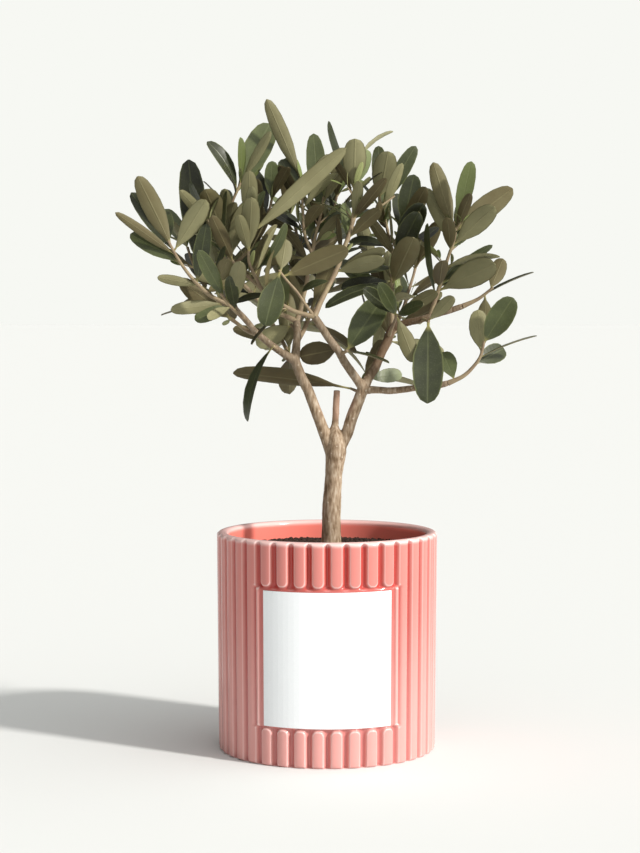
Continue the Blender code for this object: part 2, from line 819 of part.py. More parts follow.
def label_mesh():
    """A strip bent round the panel, as thick as the sheet."""
    inside = POT_RADIUS - PANEL_DEPTH + CLEARANCE
    half_arc = LABEL_WIDTH / inside / 2
    points = []
    for column in range(LABEL_COLUMNS + 1):
        bearing = half_arc * (2 * column / LABEL_COLUMNS - 1)
        for height in (LABEL_BOTTOM, LABEL_TOP):
            for radius in (inside * flare(height), inside * flare(height) + LABEL_THICKNESS):
                points.append(Vector((radius * math.sin(bearing), -radius * math.cos(bearing), height)) * MM)
    body = bmesh.new()
    corners = [body.verts.new(point) for point in points]
    body.faces.new([corners[index] for index in (0, 1, 3, 2)])
    body.faces.new([corners[len(corners) - 4 + index] for index in (0, 2, 3, 1)])
    for column in range(LABEL_COLUMNS):
        first = column * 4
        for start, end in ((0, 1), (1, 3), (3, 2), (2, 0)):
            body.faces.new([corners[first + start], corners[first + 4 + start],
                            corners[first + 4 + end], corners[first + end]])
    bmesh.ops.recalc_face_normals(body, faces=body.faces)
    mesh = bpy.data.meshes.new("label")
    body.to_mesh(mesh)
    body.free()
    return mesh


def soil_mesh():
    body = bmesh.new()
    radius = (POT_RADIUS - POT_WALL - CLEARANCE) * MM
    bottom = POT_FLOOR + CLEARANCE
    depth = (SOIL_TOP - bottom) * MM
    place = Matrix.Translation((0, 0, bottom * MM + depth / 2))
    bmesh.ops.create_cone(
        body, cap_ends=True, segments=SOIL_SIDES, radius1=radius, radius2=radius, depth=depth, matrix=place
    )
    mesh = bpy.data.meshes.new("soil")
    body.to_mesh(mesh)
    body.free()
    return mesh


def make_wood(limbs, collection):
    """The trunk and boughs, each cut clear of what bears it and of the boughs there before it."""
    for name in ["trunk", *LIMBS]:
        entry = limbs[name]
        resolution = resolution_of(name)
        mesh = tube_mesh(entry["points"], entry["radii"], resolution)
        made = add_object(name, mesh, BARK, collection)
        cut_clear(made, name, limbs)
        shade(made)


def cut_clear(made, name, limbs):
    """Cuts a limb's foot clear of its parent and of every earlier limb on that parent."""
    on = limbs[name]["on"]
    if on is None:
        return
    earlier = []
    for other, entry in limbs.items():
        if other == name:
            break
        if other == on or (entry["on"] == on and entry["node"] != limbs[name]["node"]):
            earlier.append(grown_tube(entry["points"], entry["radii"], resolution_of(other), CLEARANCE))
    joined(made, "DIFFERENCE", earlier)


def make_masses(limbs, collection):
    """Each mass of leaves: stem, twigs and leaves in one union, cut clear of the limb that bears it."""
    grown = grow(limbs)
    for mass, shoots in MASSES.items():
        names = [f"{mass}.{number}" for number in range(len(shoots))]
        tubes = [tube_mesh(limbs[name]["points"], limbs[name]["radii"], TWIG_RESOLUTION) for name in names]
        made = add_object(mass, tubes[0], LEAF, collection)
        joined(made, "UNION", tubes[1:] + [leaf_mesh(leaf) for leaf in grown[mass]])
        cut_clear(made, names[0], limbs)
        without_scraps(made)
        shade(made)


def main():
    for obj in list(bpy.data.objects):
        bpy.data.objects.remove(obj)
    collection = bpy.data.collections.new("potted_olive_tree")
    bpy.context.scene.collection.children.link(collection)
    add_object("pot", pot_mesh(), GLAZE, collection)
    add_object("label", label_mesh(), PAPER, collection)
    add_object("soil", soil_mesh(), SOIL, collection)
    limbs = lay_out()
    make_wood(limbs, collection)
    make_masses(limbs, collection)


if __name__ == "__main__":
    main()
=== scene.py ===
import math
import random
from functools import partial

import bpy
from mathutils import Matrix, Vector
from mathutils.bvhtree import BVHTree
from mathutils.kdtree import KDTree


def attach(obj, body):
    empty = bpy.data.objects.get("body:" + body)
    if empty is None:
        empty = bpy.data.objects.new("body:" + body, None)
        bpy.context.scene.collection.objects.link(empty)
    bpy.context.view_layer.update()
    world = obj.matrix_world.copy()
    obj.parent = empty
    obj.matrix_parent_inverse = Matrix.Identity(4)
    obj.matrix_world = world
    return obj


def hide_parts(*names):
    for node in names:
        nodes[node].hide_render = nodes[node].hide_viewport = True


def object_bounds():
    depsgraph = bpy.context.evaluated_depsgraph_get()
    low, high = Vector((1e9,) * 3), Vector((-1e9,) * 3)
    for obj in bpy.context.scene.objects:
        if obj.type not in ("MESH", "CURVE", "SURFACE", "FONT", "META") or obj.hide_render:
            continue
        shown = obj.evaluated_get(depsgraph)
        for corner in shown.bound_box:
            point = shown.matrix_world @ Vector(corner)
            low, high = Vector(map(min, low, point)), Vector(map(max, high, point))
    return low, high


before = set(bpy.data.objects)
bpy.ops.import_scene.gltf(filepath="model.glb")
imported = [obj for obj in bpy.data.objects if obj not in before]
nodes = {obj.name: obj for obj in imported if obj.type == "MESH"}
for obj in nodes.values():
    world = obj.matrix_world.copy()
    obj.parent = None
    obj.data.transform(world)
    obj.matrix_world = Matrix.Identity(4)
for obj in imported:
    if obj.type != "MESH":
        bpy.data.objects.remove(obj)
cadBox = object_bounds()

mm = 0.001
upright = 0.05  # a direction whose cross product with the vertical is shorter than this counts as upright
straight = 0.01  # the least curl of a leaf, in degrees
pastEnd = 1000.0  # a run that is past the tip of every course


def linear(code):
    # sRGB hex to the linear colour that shaders take
    parts = [int(code[place:place + 2], 16) / 255 for place in (1, 3, 5)]
    return [*(part / 12.92 if part <= 0.04045 else ((part + 0.055) / 1.055) ** 2.4 for part in parts), 1.0]


def addNode(tree, kind, inputs=(), stops=(), curve=(), **settings):
    # adds a node of a kind named without its family; inputs are values, sockets or nodes, by name or in order
    families = ("ShaderNode", "GeometryNode", "FunctionNode")
    made = tree.nodes.new(next(family + kind for family in families if hasattr(bpy.types, family + kind)))
    for name, value in settings.items():
        setattr(made, name, value)
    pairs = inputs.items() if isinstance(inputs, dict) else enumerate(inputs)
    openSockets = [socket for socket in made.inputs if socket.enabled]
    for key, value in pairs:
        socket = openSockets[key] if isinstance(key, int) else next(s for s in openSockets if s.name == key)
        if isinstance(value, bpy.types.Node):
            value = next(out for out in value.outputs if out.enabled)
        if isinstance(value, bpy.types.NodeSocket):
            tree.links.new(value, socket)
        else:
            socket.default_value = value
    if stops:  # places and hex colours of a colour ramp
        elements = made.color_ramp.elements
        while len(elements) < len(stops):
            elements.new(0.5)
        for element, (place, code) in zip(elements, stops):
            element.position = place
            element.color = linear(code)
    if curve:  # points of a float curve
        handles = made.mapping.curves[0].points
        while len(handles) < len(curve):
            handles.new(0.5, 0.5)
        for handle, place in zip(handles, curve):
            handle.location = place
            handle.handle_type = "AUTO_CLAMPED"
        made.mapping.update()
    return made


def addModifier(made, name, build, values):
    # a geometry tree on an object, with a named input for each value, set by the input's identifier
    tree = bpy.data.node_groups.new(name, "GeometryNodeTree")
    kinds = {"int": "NodeSocketInt", "float": "NodeSocketFloat", "Material": "NodeSocketMaterial"}
    tree.interface.new_socket("Geometry", in_out="INPUT", socket_type="NodeSocketGeometry")
    sockets = [tree.interface.new_socket(label, in_out="INPUT", socket_type=kinds[type(value).__name__])
               for label, value in values.items()]
    tree.interface.new_socket("Geometry", in_out="OUTPUT", socket_type="NodeSocketGeometry")
    source = tree.nodes.new("NodeGroupInput")
    last = build(partial(addNode, tree), source.outputs)
    tree.links.new(last.outputs[0], tree.nodes.new("NodeGroupOutput").inputs[0])
    modifier = made.modifiers.new(name, "NODES")
    modifier.node_group = tree
    for socket, value in zip(sockets, values.values()):
        modifier[socket.identifier] = value


def settle(made):
    # turns what the modifiers give into a plain mesh
    graph = bpy.context.evaluated_depsgraph_get()
    mesh = bpy.data.meshes.new_from_object(made.evaluated_get(graph))
    mesh.name = made.name
    made.modifiers.clear()
    made.data = mesh


def smooth(made, sharpFrom):
    made.data.shade_smooth()
    made.data.set_sharp_from_angle(angle=math.radians(sharpFrom))


def addPiece(name, points, edges=(), faces=()):
    mesh = bpy.data.meshes.new(name)
    mesh.from_pydata(points, edges, faces)
    mesh.update()
    made = bpy.data.objects.new(name, mesh)
    bpy.context.scene.collection.objects.link(made)
    return made


def storeOn(mesh, **named):
    # a number or a vector for each point of a mesh, under each name
    for name, values in named.items():
        isVector = isinstance(values[0], Vector)
        attribute = mesh.attributes.new(name, "FLOAT_VECTOR" if isVector else "FLOAT", "POINT")
        if isVector:
            attribute.data.foreach_set("vector", [number for value in values for number in value])
        else:
            attribute.data.foreach_set("value", values)


def dress(made, slot, *replaced):
    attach(made, "root")
    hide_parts(*replaced)
    print("made", made.name, len(made.data.polygons), "faces")


# The plant grows by the same rows and the same seeded rule as the solids, so each leaf has its place in them

def limb(on, tip, at=pastEnd, bow=(0, 0, 0), thick=4.5, thin=3.3):
    return {"on": on, "at": at, "tip": tip, "bow": bow, "thick": thick, "thin": thin}


def shoot(on, tip, at=pastEnd, bow=(0, 0, 0), thick=2.5, thin=1.5, bare=6, leaf=44, seed=1, blades=(),
          tone=None):
    row = limb(on, tip, at, bow, thick, thin)
    row.update({"bare": bare, "leaf": leaf, "seed": seed, "blades": blades, "tone": tone})
    return row


def blade(at, tip, width, shows="upper", curl=14.0, fresh=0.0):
    return {"at": at, "tip": tip, "width": width, "shows": shows, "curl": curl, "fresh": fresh}


trunkFoot = 118.6
# height above the soil, shift to the right, thickness; the last three are the cut leader
trunkCourse = (
    (0.0, 2.4, 14.4),
    (3.5, 2.5, 12.4),
    (8.0, 2.6, 11.6),
    (17.0, 2.6, 11.1),
    (26.0, 2.8, 11.3),
    (35.0, 3.4, 10.4),
    (44.0, 4.0, 10.2),
    (52.0, 4.7, 11.4),
    (58.0, 5.2, 12.8),
    (63.0, 5.2, 12.6),
    (68.0, 4.8, 10.0),
    (72.0, 4.6, 5.6),
    (76.0, 4.9, 4.1),
    (94.5, 5.9, 3.9),
)

limbRows = {
    "left_bough": limb("trunk", (-19, -3, 231), at=52, bow=(1, 0, 0), thick=7.4, thin=5.8),
    "right_bough": limb("trunk", (21.5, 0, 214.5), at=53, bow=(0.3, 0, 0), thick=7.6, thin=6.8),
    "low_left_bough": limb("left_bough", (-54, -14, 262), bow=(-1, 0, -2), thick=4.6, thin=3.4),
    "high_left_bough": limb("left_bough", (-18, 6, 254), bow=(1, 0, 0), thick=5.0, thin=4.4),
    "inner_bough": limb("right_bough", (-7.5, -18, 257), bow=(-1, 0, 1), thick=5.2, thin=4.4),
    "outer_bough": limb("right_bough", (39, 14, 250), bow=(1, 0, -1), thick=5.6, thin=5.0),
    "low_right_bough": limb("right_bough", (70.5, -22, 218.4), at=45, bow=(0, 0, -1.5), thick=4.4, thin=3.4),
    "long_right_bough": limb("outer_bough", (80.5, 2, 263), thick=4.6, thin=3.4),
}

massRows = {
    "far_left_leaves": (
        shoot(
            "low_left_bough", (-92, -24, 301), bow=(-3, 0, -5), thick=2.8, bare=100, tone=0.55,
            blades=(
                blade(47, (-122, -30, 317), 6, shows="under"),
                blade(42, (-114.6, -16, 305), 10),
                blade(52, (-109.5, -26, 338), 12, shows="under"),
                blade(50, (-69.5, -34, 324), 12, shows="under"),
                blade(25, (-98.4, -24, 279.8), 6, shows="under"),
                blade(6, (-90.4, -28, 261), 8, shows="under"),
                blade(49, (-114, -16, 329), 9),
                blade(pastEnd, (-95, -14, 319), 9),
                blade(27, (-69.5, -28, 310.5), 10),
                blade(3, (-77, -20, 255), 9),
                blade(2, (-69, -34, 256.5), 6, shows="under"),
            ),
        ),
    ),
    "left_back_leaves": (
        shoot(
            "low_left_bough", (-83, 10, 298), at=26, bow=(-4, 6, -8), thick=2.5, bare=22, leaf=42, seed=77,
            tone=0.3,
            blades=(
                blade(53, (-82, 8, 349.5), 16),
            ),
        ),
        shoot(0, (-62, 44, 296), at=34, bow=(0, 4, -3), thick=1.9, bare=8, leaf=42, seed=54),
    ),
    "upper_left_leaves": (
        shoot(
            "high_left_bough", (-51, 6, 336), bow=(-22, 0, -8), thick=3.0, bare=30, leaf=40, seed=50,
            tone=0.55,
            blades=(
                blade(97, (-70.5, 0, 359.5), 11, shows="right", curl=50),
                blade(96, (-34, 28, 372), 17),
                blade(pastEnd, (-33, -8, 365), 6, shows="under"),
                blade(64, (-71, -14, 331), 15, shows="under"),
                blade(pastEnd, (-51, -2, 362), 7, shows="right", fresh=0.35),
                blade(72, (-60, -10, 331.5), 8, shows="under"),
            ),
        ),
        shoot(
            0, (-33, 16, 326), at=52, bow=(3, 0, -3), thick=1.9, bare=10, leaf=38, seed=390, tone=0.7,
            blades=(
                blade(pastEnd, (-32.5, 14, 349), 9),
            ),
        ),
    ),
    "mid_left_leaves": (
        shoot(
            "inner_bough", (-45, -18, 311), bow=(-13, -2, -9), thick=2.8, bare=16, leaf=36, seed=73, tone=0.6,
            blades=(
                blade(68, (11, -14, 355), 10.5, shows="under", curl=8),
                blade(pastEnd, (-45, -28, 341), 10, shows="under"),
                blade(58, (-43.5, -34, 325.5), 11, shows="under"),
                blade(46, (-24, -34, 311), 8, shows="right", curl=45),
            ),
        ),
        shoot(0, (-69, -12, 312), at=35, bow=(-2, 0, -3), thick=1.9, bare=10, leaf=36, seed=470),
    ),
    "inner_top_leaves": (
        shoot(
            "inner_bough", (16.5, 2, 318), bow=(2, 0, 0), thick=3.2, thin=2.4, bare=30, leaf=34, seed=264,
            tone=0.45,
            blades=(
                blade(30, (33.6, -22, 296), 8, shows="under"),
                blade(24, (-14.5, -4, 272), 7, shows="roof", curl=40),
            ),
        ),
        shoot(0, (40, 4, 328), at=57, thick=1.7, thin=1.2, bare=60),
        shoot(
            0, (16, 0, 333), at=60, thick=1.8, thin=1.4, bare=4, leaf=34, seed=347, tone=0.85,
            blades=(
                blade(pastEnd, (16.4, -4, 361), 14, shows="under"),
                blade(pastEnd, (1, 14, 372.5), 8, shows="left"),
                blade(pastEnd, (39.5, 22, 367), 8, shows="arch", curl=70),
                blade(pastEnd, (23.5, 8, 355.5), 10, fresh=0.5),
            ),
        ),
    ),
    "inner_low_leaves": (
        shoot(
            "inner_bough", (-28, -25, 284), bow=(0, 0, 1), thick=1.8, thin=1.4, bare=60, tone=0.35,
            blades=(
                blade(30, (12, -32, 296), 13, shows="under"),
                blade(pastEnd, (-35.5, -40, 252), 15, curl=30),
                blade(33, (-24, -14, 302), 10, shows="under"),
            ),
        ),
    ),
    "centre_top_leaves": (
        shoot(
            "high_left_bough", (-2, 19, 328), bow=(0, 0, -4), thick=3.0, bare=34, leaf=38, seed=48, tone=0.6,
            blades=(
                blade(66, (-8, 34, 366.5), 12),
            ),
        ),
        shoot(
            0, (-14, 14, 336), at=42, bow=(-3, 0, -2), thick=2.0, bare=14, leaf=36, seed=175, tone=0.4,
            blades=(
                blade(pastEnd, (-35.7, 8, 385), 9.5, shows="under"),
                blade(36, (-27.5, 18, 350), 10),
            ),
        ),
        shoot(0, (-22, 44, 318), at=36, bow=(0, 0, -4), thick=1.9, bare=8, leaf=40, seed=199),
    ),
    "outer_up_leaves": (
        shoot(
            "outer_bough", (47, 20, 316), bow=(-3, 0, 0), thick=3.2, bare=14, leaf=40, seed=434, tone=0.4,
            blades=(
                blade(26, (50, -24, 302.7), 15, shows="under"),
                blade(62, (52, 14, 341), 13),
                blade(50, (57, -4, 323), 14),
                blade(42, (54, -8, 318), 13),
                blade(24, (-1, -4, 262), 9, shows="roof", curl=55),
                blade(36, (13, 4, 283), 9, shows="roof"),
                blade(28, (8.5, 12, 273.5), 11),
            ),
        ),
        shoot(
            0, (31, 12, 328), at=38, bow=(1, 0, -2), thick=2.0, bare=10, leaf=38, seed=16, tone=0.6,
            blades=(
                blade(pastEnd, (36, 2, 354), 14.5, shows="under"),
                blade(36, (53, 18, 358), 10),
                blade(pastEnd, (31, 24, 358.5), 9),
            ),
        ),
    ),
    "right_up_leaves": (
        shoot(
            "long_right_bough", (76.5, 2, 310), at=24, bow=(1, 0, 0), thick=2.6, bare=18, leaf=38, seed=396,
            tone=0.55,
            blades=(
                blade(53, (110, 8, 332.5), 14, shows="under"),
                blade(44, (98, -10, 321), 13, shows="under"),
                blade(51, (63, 10, 348), 10.5, shows="under"),
                blade(46, (59, 14, 333), 9, shows="under"),
                blade(55, (85, 0, 348), 10, fresh=0.4),
                blade(16, (98, -14, 287.7), 16, shows="under"),
                blade(20, (98.5, 12, 299), 7, shows="roof"),
                blade(12, (59, -6, 311.5), 8, shows="left"),
            ),
        ),
    ),
    "right_tip_leaves": (
        shoot(
            "long_right_bough", (98, -1, 274), bow=(1, 0, -1), thick=2.8, bare=40, tone=0.4,
            blades=(
                blade(9, (123, 12, 283), 8, shows="edge"),
                blade(19, (104, 2, 291), 10, shows="under"),
                blade(15, (94, 8, 246), 10, shows="under"),
            ),
        ),
    ),
    "low_right_leaves": (
        shoot(
            "low_right_bough", (91, -27, 243), bow=(4, 0, -3), thick=2.8, bare=100, tone=0.6,
            blades=(
                blade(24, (121.5, -26, 246), 8, shows="edge"),
                blade(33, (107.4, -30, 268), 15),
                blade(27, (88, -18, 261), 12, shows="under"),
                blade(19, (104, -8, 238), 12),
                blade(4, (68, -10, 236), 11),
            ),
        ),
    ),
    "hanging_right_leaves": (
        shoot(
            "long_right_bough", (60, -5, 254), at=19, thick=1.9, thin=1.5, bare=60, tone=0.55,
            blades=(
                blade(pastEnd, (58, -30, 207), 18.5),
                blade(pastEnd, (74, -14, 268.5), 8, shows="under"),
            ),
        ),
    ),
    "inner_spur_leaves": (
        shoot(
            "inner_bough", (12, -14, 237), at=26, thick=2.0, thin=1.7, bare=60, tone=0.4,
            blades=(
                blade(pastEnd, (33, -6, 267.6), 17),
                blade(pastEnd, (36, -22, 230), 11, shows="edge"),
            ),
        ),
    ),
    "inner_low_spur_leaf": (
        shoot(
            "inner_bough", (7, -2, 238), at=28, thick=2.0, thin=1.7, bare=60, tone=0.1,
            blades=(
                blade(pastEnd, (-16, 2, 233), 14, shows="under"),
            ),
        ),
    ),
    "low_left_spur_leaf": (
        shoot(
            "right_bough", (14, 7, 214), at=43, thick=1.8, thin=1.5, bare=60, tone=0.15,
            blades=(
                blade(pastEnd, (-56, 10, 223), 13, shows="over", curl=14),
            ),
        ),
    ),
    "hanging_left_leaves": (
        shoot(
            "low_left_bough", (-32, -12, 240), at=12, thick=1.8, thin=1.5, bare=60, tone=0.2,
            blades=(
                blade(pastEnd, (-46.5, -16, 195.7), 12, shows="left", curl=45),
            ),
        ),
    ),
    "left_spur_leaf": (
        shoot(
            "high_left_bough", (-21.5, 10, 252), at=18, thick=1.8, thin=1.5, bare=60, tone=0.8,
            blades=(
                blade(pastEnd, (-42, 12, 239.5), 12, shows="under"),
            ),
        ),
    ),
    "right_spur_leaf": (
        shoot(
            "outer_bough", (26, 7, 220), at=4, thick=1.8, thin=1.5, bare=60, tone=1,
            blades=(
                blade(pastEnd, (45, 20, 222), 9),
            ),
        ),
    ),
    "back_left_leaves": (
        shoot("left_bough", (-46, 52, 280), at=55, bow=(0, 4, -2), thick=3.0, bare=20, leaf=42, seed=439),
        shoot(0, (-20, 66, 282), at=38, bow=(0, 0, -4), thick=1.9, bare=6, leaf=40, seed=151),
    ),
    "back_right_leaves": (
        shoot("outer_bough", (56, 60, 292), at=22, bow=(0, 4, -8), thick=3.0, bare=20, leaf=42, seed=288),
        shoot(0, (28, 70, 288), at=38, bow=(0, 0, -4), thick=1.9, bare=6, leaf=40, seed=450),
    ),
    "back_middle_leaves": (
        shoot("high_left_bough", (4, 58, 308), at=12, bow=(0, 4, -8), thick=3.0, bare=22, leaf=42, seed=300),
        shoot(0, (6, 40, 330), at=46, bow=(0, 4, -4), thick=1.9, bare=8, leaf=38, seed=16),
    ),
    "low_back_leaves": (
        shoot("right_bough", (34, 46, 256), at=34, bow=(0, 2, -6), thick=2.6, bare=18, leaf=38, seed=335),
    ),
    "front_left_leaves": (
        shoot(
            "low_left_bough", (-65, -38, 276), at=40, bow=(0, -3, -2), thick=2.2, bare=60, tone=0.4,
            blades=(
                blade(pastEnd, (-58, -42, 297.5), 7, shows="left"),
                blade(pastEnd, (-56, -50, 290), 9, shows="under"),
                blade(12, (-56, -46, 280.5), 8),
                blade(26, (-73, -52, 295), 9),
                blade(18, (-49, -60, 288.5), 10, shows="under"),
            ),
        ),
    ),
    "front_right_leaves": (
        shoot(
            "outer_bough", (41, -12, 258), at=36, thick=2.3, thin=1.8, bare=60, tone=0.45,
            blades=(
                blade(pastEnd, (21, -24, 273.5), 9),
                blade(pastEnd, (29.5, -36, 276.5), 9),
                blade(pastEnd, (51, -16, 230.5), 10, shows="under"),
                blade(pastEnd, (63.5, -28, 271.5), 8, shows="under", curl=30),
                blade(pastEnd, (55, -44, 264.5), 8),
            ),
        ),
    ),
}

growth = {
    "step": 9.0, "wander": 0.5, "rootDepth": 1.2, "tries": 16, "tryWidening": 1 / 6, "tryShortening": 1 / 60,
    "internode": 13.0, "internodeRange": (0.8, 1.2), "pairTurn": 90.0, "pairStray": 15.0,
    "spreadAtFoot": 66.0, "spreadAtTip": 30.0, "spreadStray": 12.0, "turnStray": 18.0, "rollStray": 35.0,
    "lengthRange": (0.8, 1.15), "tipShortening": 0.25, "slimness": (0.23, 0.32), "curlRange": (-8.0, 32.0),
    "foundWithin": 0.05, "leftOut": ("low_back_leaves.0/0/0", "left_back_leaves.0/0/0"),
    "upperFaces": {
        "upper": (0.0, -1.0, 0.25),
        "under": (0.0, 1.0, 0.1),
        "edge": (0.0, 0.0, 1.0),
        "over": (0.0, 0.8, 0.6),
        "left": (-0.9, -0.5, 0.0),
        "right": (0.7, -0.7, 0.2),
        "arch": (-0.6, 0.3, 0.75),
        "roof": (0.0, -0.7, 0.7),
    },
}


def eitherWay(dice, most):
    return dice.uniform(-most, most)


def turned(direction, axis, degrees):
    return Matrix.Rotation(math.radians(degrees), 3, axis) @ direction


def across(direction):
    aside = direction.cross(Vector((0, 0, 1)))
    if aside.length < upright:
        aside = direction.cross(Vector((1, 0, 0)))
    return aside.normalized()


def courseOf(name, row, foot):
    # points from the foot to the tip, bowed midway and with small seeded knees
    dice = random.Random(name)
    tip = Vector(row["tip"])
    count = max(1, round((tip - foot).length / growth["step"]))
    points = [foot.copy()]
    for step in range(1, count):
        share = step / count
        knee = Vector([eitherWay(dice, growth["wander"]) for _ in range(3)])
        points.append(foot.lerp(tip, share) + Vector(row["bow"]) * (4 * share * (1 - share)) + knee)
    points.append(tip)
    return points


def courseLength(points):
    return sum((second - first).length for first, second in zip(points, points[1:]))


def placeOn(points, distance):
    for first, second in zip(points, points[1:]):
        stretch = (second - first).length
        direction = (second - first) / stretch
        if distance <= stretch:
            return first + direction * distance, direction
        distance -= stretch
    return points[-1].copy(), direction


def layOut():
    # the course of the trunk and of each bough and shoot, with its node and what it grows from
    trunk = [Vector((shift, 0.0, trunkFoot + height)) for height, shift, _ in trunkCourse]
    limbs = {"trunk": {"node": "trunk", "on": None, "points": trunk}}
    rows = [(name, name, row) for name, row in limbRows.items()]
    for mass, shoots in massRows.items():
        rows.extend((f"{mass}.{number}", mass, row) for number, row in enumerate(shoots))
    for name, node, row in rows:
        on = f"{node}.{row['on']}" if isinstance(row["on"], int) else row["on"]
        foot = placeOn(limbs[on]["points"], row["at"])[0]
        limbs[name] = {"node": node, "on": on, "points": courseOf(name, row, foot), "row": row}
    return limbs


def placedBlade(root, row):
    # the leaf that reaches from its root to the given tip and shows the named face to the front
    chord = Vector(row["tip"]) - root
    reach = chord.length
    chord.normalize()
    upper = Vector(growth["upperFaces"][row["shows"]])
    upper = (upper - chord * upper.dot(chord)).normalized()
    aside = chord.cross(upper)
    half = math.radians(row["curl"]) / 2
    leaf = {"root": root, "length": reach * half / math.sin(half), "width": row["width"], "curl": row["curl"]}
    leaf["direction"] = turned(chord, aside, row["curl"] / 2)
    leaf["upper"] = turned(upper, aside, row["curl"] / 2)
    return leaf


def ruleLeaf(name, row, number, half, root, forward, azimuth, share, attempt):
    # one try at a leaf of a shoot: the later the try, the wider it strays and the shorter it is
    dice = random.Random(f"{name}/{row['seed']}/{number}/{half}/{attempt}")
    stray = 1 + attempt * growth["tryWidening"]
    spread = growth["spreadAtFoot"] + (growth["spreadAtTip"] - growth["spreadAtFoot"]) * share
    spread += eitherWay(dice, growth["spreadStray"]) * stray
    outward = turned(across(forward), forward, azimuth + half + eitherWay(dice, growth["turnStray"]) * stray)
    aside = forward.cross(outward)
    direction = turned(forward, aside, spread)
    upper = turned(turned(-outward, aside, spread), direction, eitherWay(dice, growth["rollStray"]) * stray)
    length = row["leaf"] * dice.uniform(*growth["lengthRange"])
    length *= (1 - growth["tipShortening"] * share) * (1 - attempt * growth["tryShortening"])
    leaf = {"root": root, "direction": direction, "upper": upper, "length": length}
    leaf["width"] = length * dice.uniform(*growth["slimness"])
    leaf["curl"] = dice.uniform(*growth["curlRange"]) or straight
    return leaf


def tipOf(leaf):
    bend = math.radians(leaf["curl"])
    ahead = leaf["direction"] * (math.sin(bend) / bend)
    return leaf["root"] + (ahead - leaf["upper"] * ((1 - math.cos(bend)) / bend)) * leaf["length"]


def growLeaves(limbs):
    # the leaves that the solids hold: of a leaf's tries, the one whose tip is a point of its mass
    leaves = []
    for name, entry in limbs.items():
        if entry["node"] not in massRows:
            continue
        row = entry["row"]
        whole = courseLength(entry["points"])
        mesh = nodes[entry["node"]].data
        corners = KDTree(len(mesh.vertices))
        for vertex in mesh.vertices:
            corners.insert(vertex.co / mm, vertex.index)
        corners.balance()
        entry["pairs"] = []
        for number, bladeRow in enumerate(row["blades"]):
            root, forward = placeOn(entry["points"], min(bladeRow["at"], whole - growth["rootDepth"]))
            leaf = placedBlade(root, bladeRow)
            leaf.update({"name": f"{name}/placed/{number}", "tone": row["tone"], "fresh": bladeRow["fresh"]})
            leaves.append(leaf)
        dice = random.Random(f"{name}/{row['seed']}")
        azimuth = dice.uniform(0, 180)
        run = row["bare"]
        number = 0
        while run < whole:
            root, forward = placeOn(entry["points"], run)
            entry["pairs"].append((run, azimuth))
            for half in (0, 180):
                for attempt in range(growth["tries"]):
                    leaf = ruleLeaf(name, row, number, half, root, forward, azimuth, run / whole, attempt)
                    if corners.find(tipOf(leaf))[2] < growth["foundWithin"]:
                        leaf["name"] = f"{name}/{number}/{half}"
                        leaves.append(leaf)
                        break
            run += growth["internode"] * dice.uniform(*growth["internodeRange"])
            azimuth += growth["pairTurn"] + eitherWay(dice, growth["pairStray"])
            number += 1
    return leaves


# Young growth between the leaves: short spurs in the leaf axils and an opening bud at each shoot's tip
youngGrowth = {
    "spurShare": 0.5, "spurLength": (3.0, 8.0), "spurSpread": (25.0, 50.0), "spurThick": 1.0, "spurThin": 0.7,
    "leafLength": (7.0, 15.0), "tipLength": (9.0, 17.0), "budLength": (4.0, 6.0), "slimness": (0.22, 0.3),
    "leafSpread": (18.0, 46.0), "budSpread": (6.0, 14.0), "curl": (-14.0, 24.0), "tries": 6, "margin": 3.0,
    "clearOfRoot": 0.35, "bite": 0.8, "fresh": (0.35, 1.0), "rollStray": 30, "turnStray": 40,
    "tipInset": 0.01,
}


def youngLeaf(dice, name, root, forward, azimuth, spread, length):
    outward = turned(across(forward), forward, azimuth)
    aside = forward.cross(outward)
    direction = turned(forward, aside, dice.uniform(*spread))
    upper = turned(-outward, aside, dice.uniform(*spread))
    upper = turned(upper, direction, eitherWay(dice, youngGrowth["rollStray"]))
    upper = (upper - direction * upper.dot(direction)).normalized()
    leaf = {"name": name, "direction": direction, "upper": upper}
    leaf["root"] = root - direction * youngGrowth["bite"]
    leaf["length"] = dice.uniform(*length)
    leaf["width"] = leaf["length"] * dice.uniform(*youngGrowth["slimness"])
    leaf["curl"] = dice.uniform(*youngGrowth["curl"]) or straight
    leaf["fresh"] = dice.uniform(*youngGrowth["fresh"])
    return leaf


def isClear(crown, leaf):
    # whether a leaf keeps clear of the solids past its root, and within the part's box
    tip = tipOf(leaf)
    lows, highs = (Vector(corner) / mm for corner in cadBox)
    room = youngGrowth["margin"]
    if any(tip[axis] < lows[axis] - room or tip[axis] > highs[axis] + room for axis in range(3)):
        return False
    start = leaf["root"].lerp(tip, youngGrowth["clearOfRoot"])
    way = tip - start
    return crown.ray_cast(start * mm, way.normalized(), way.length * mm)[0] is None


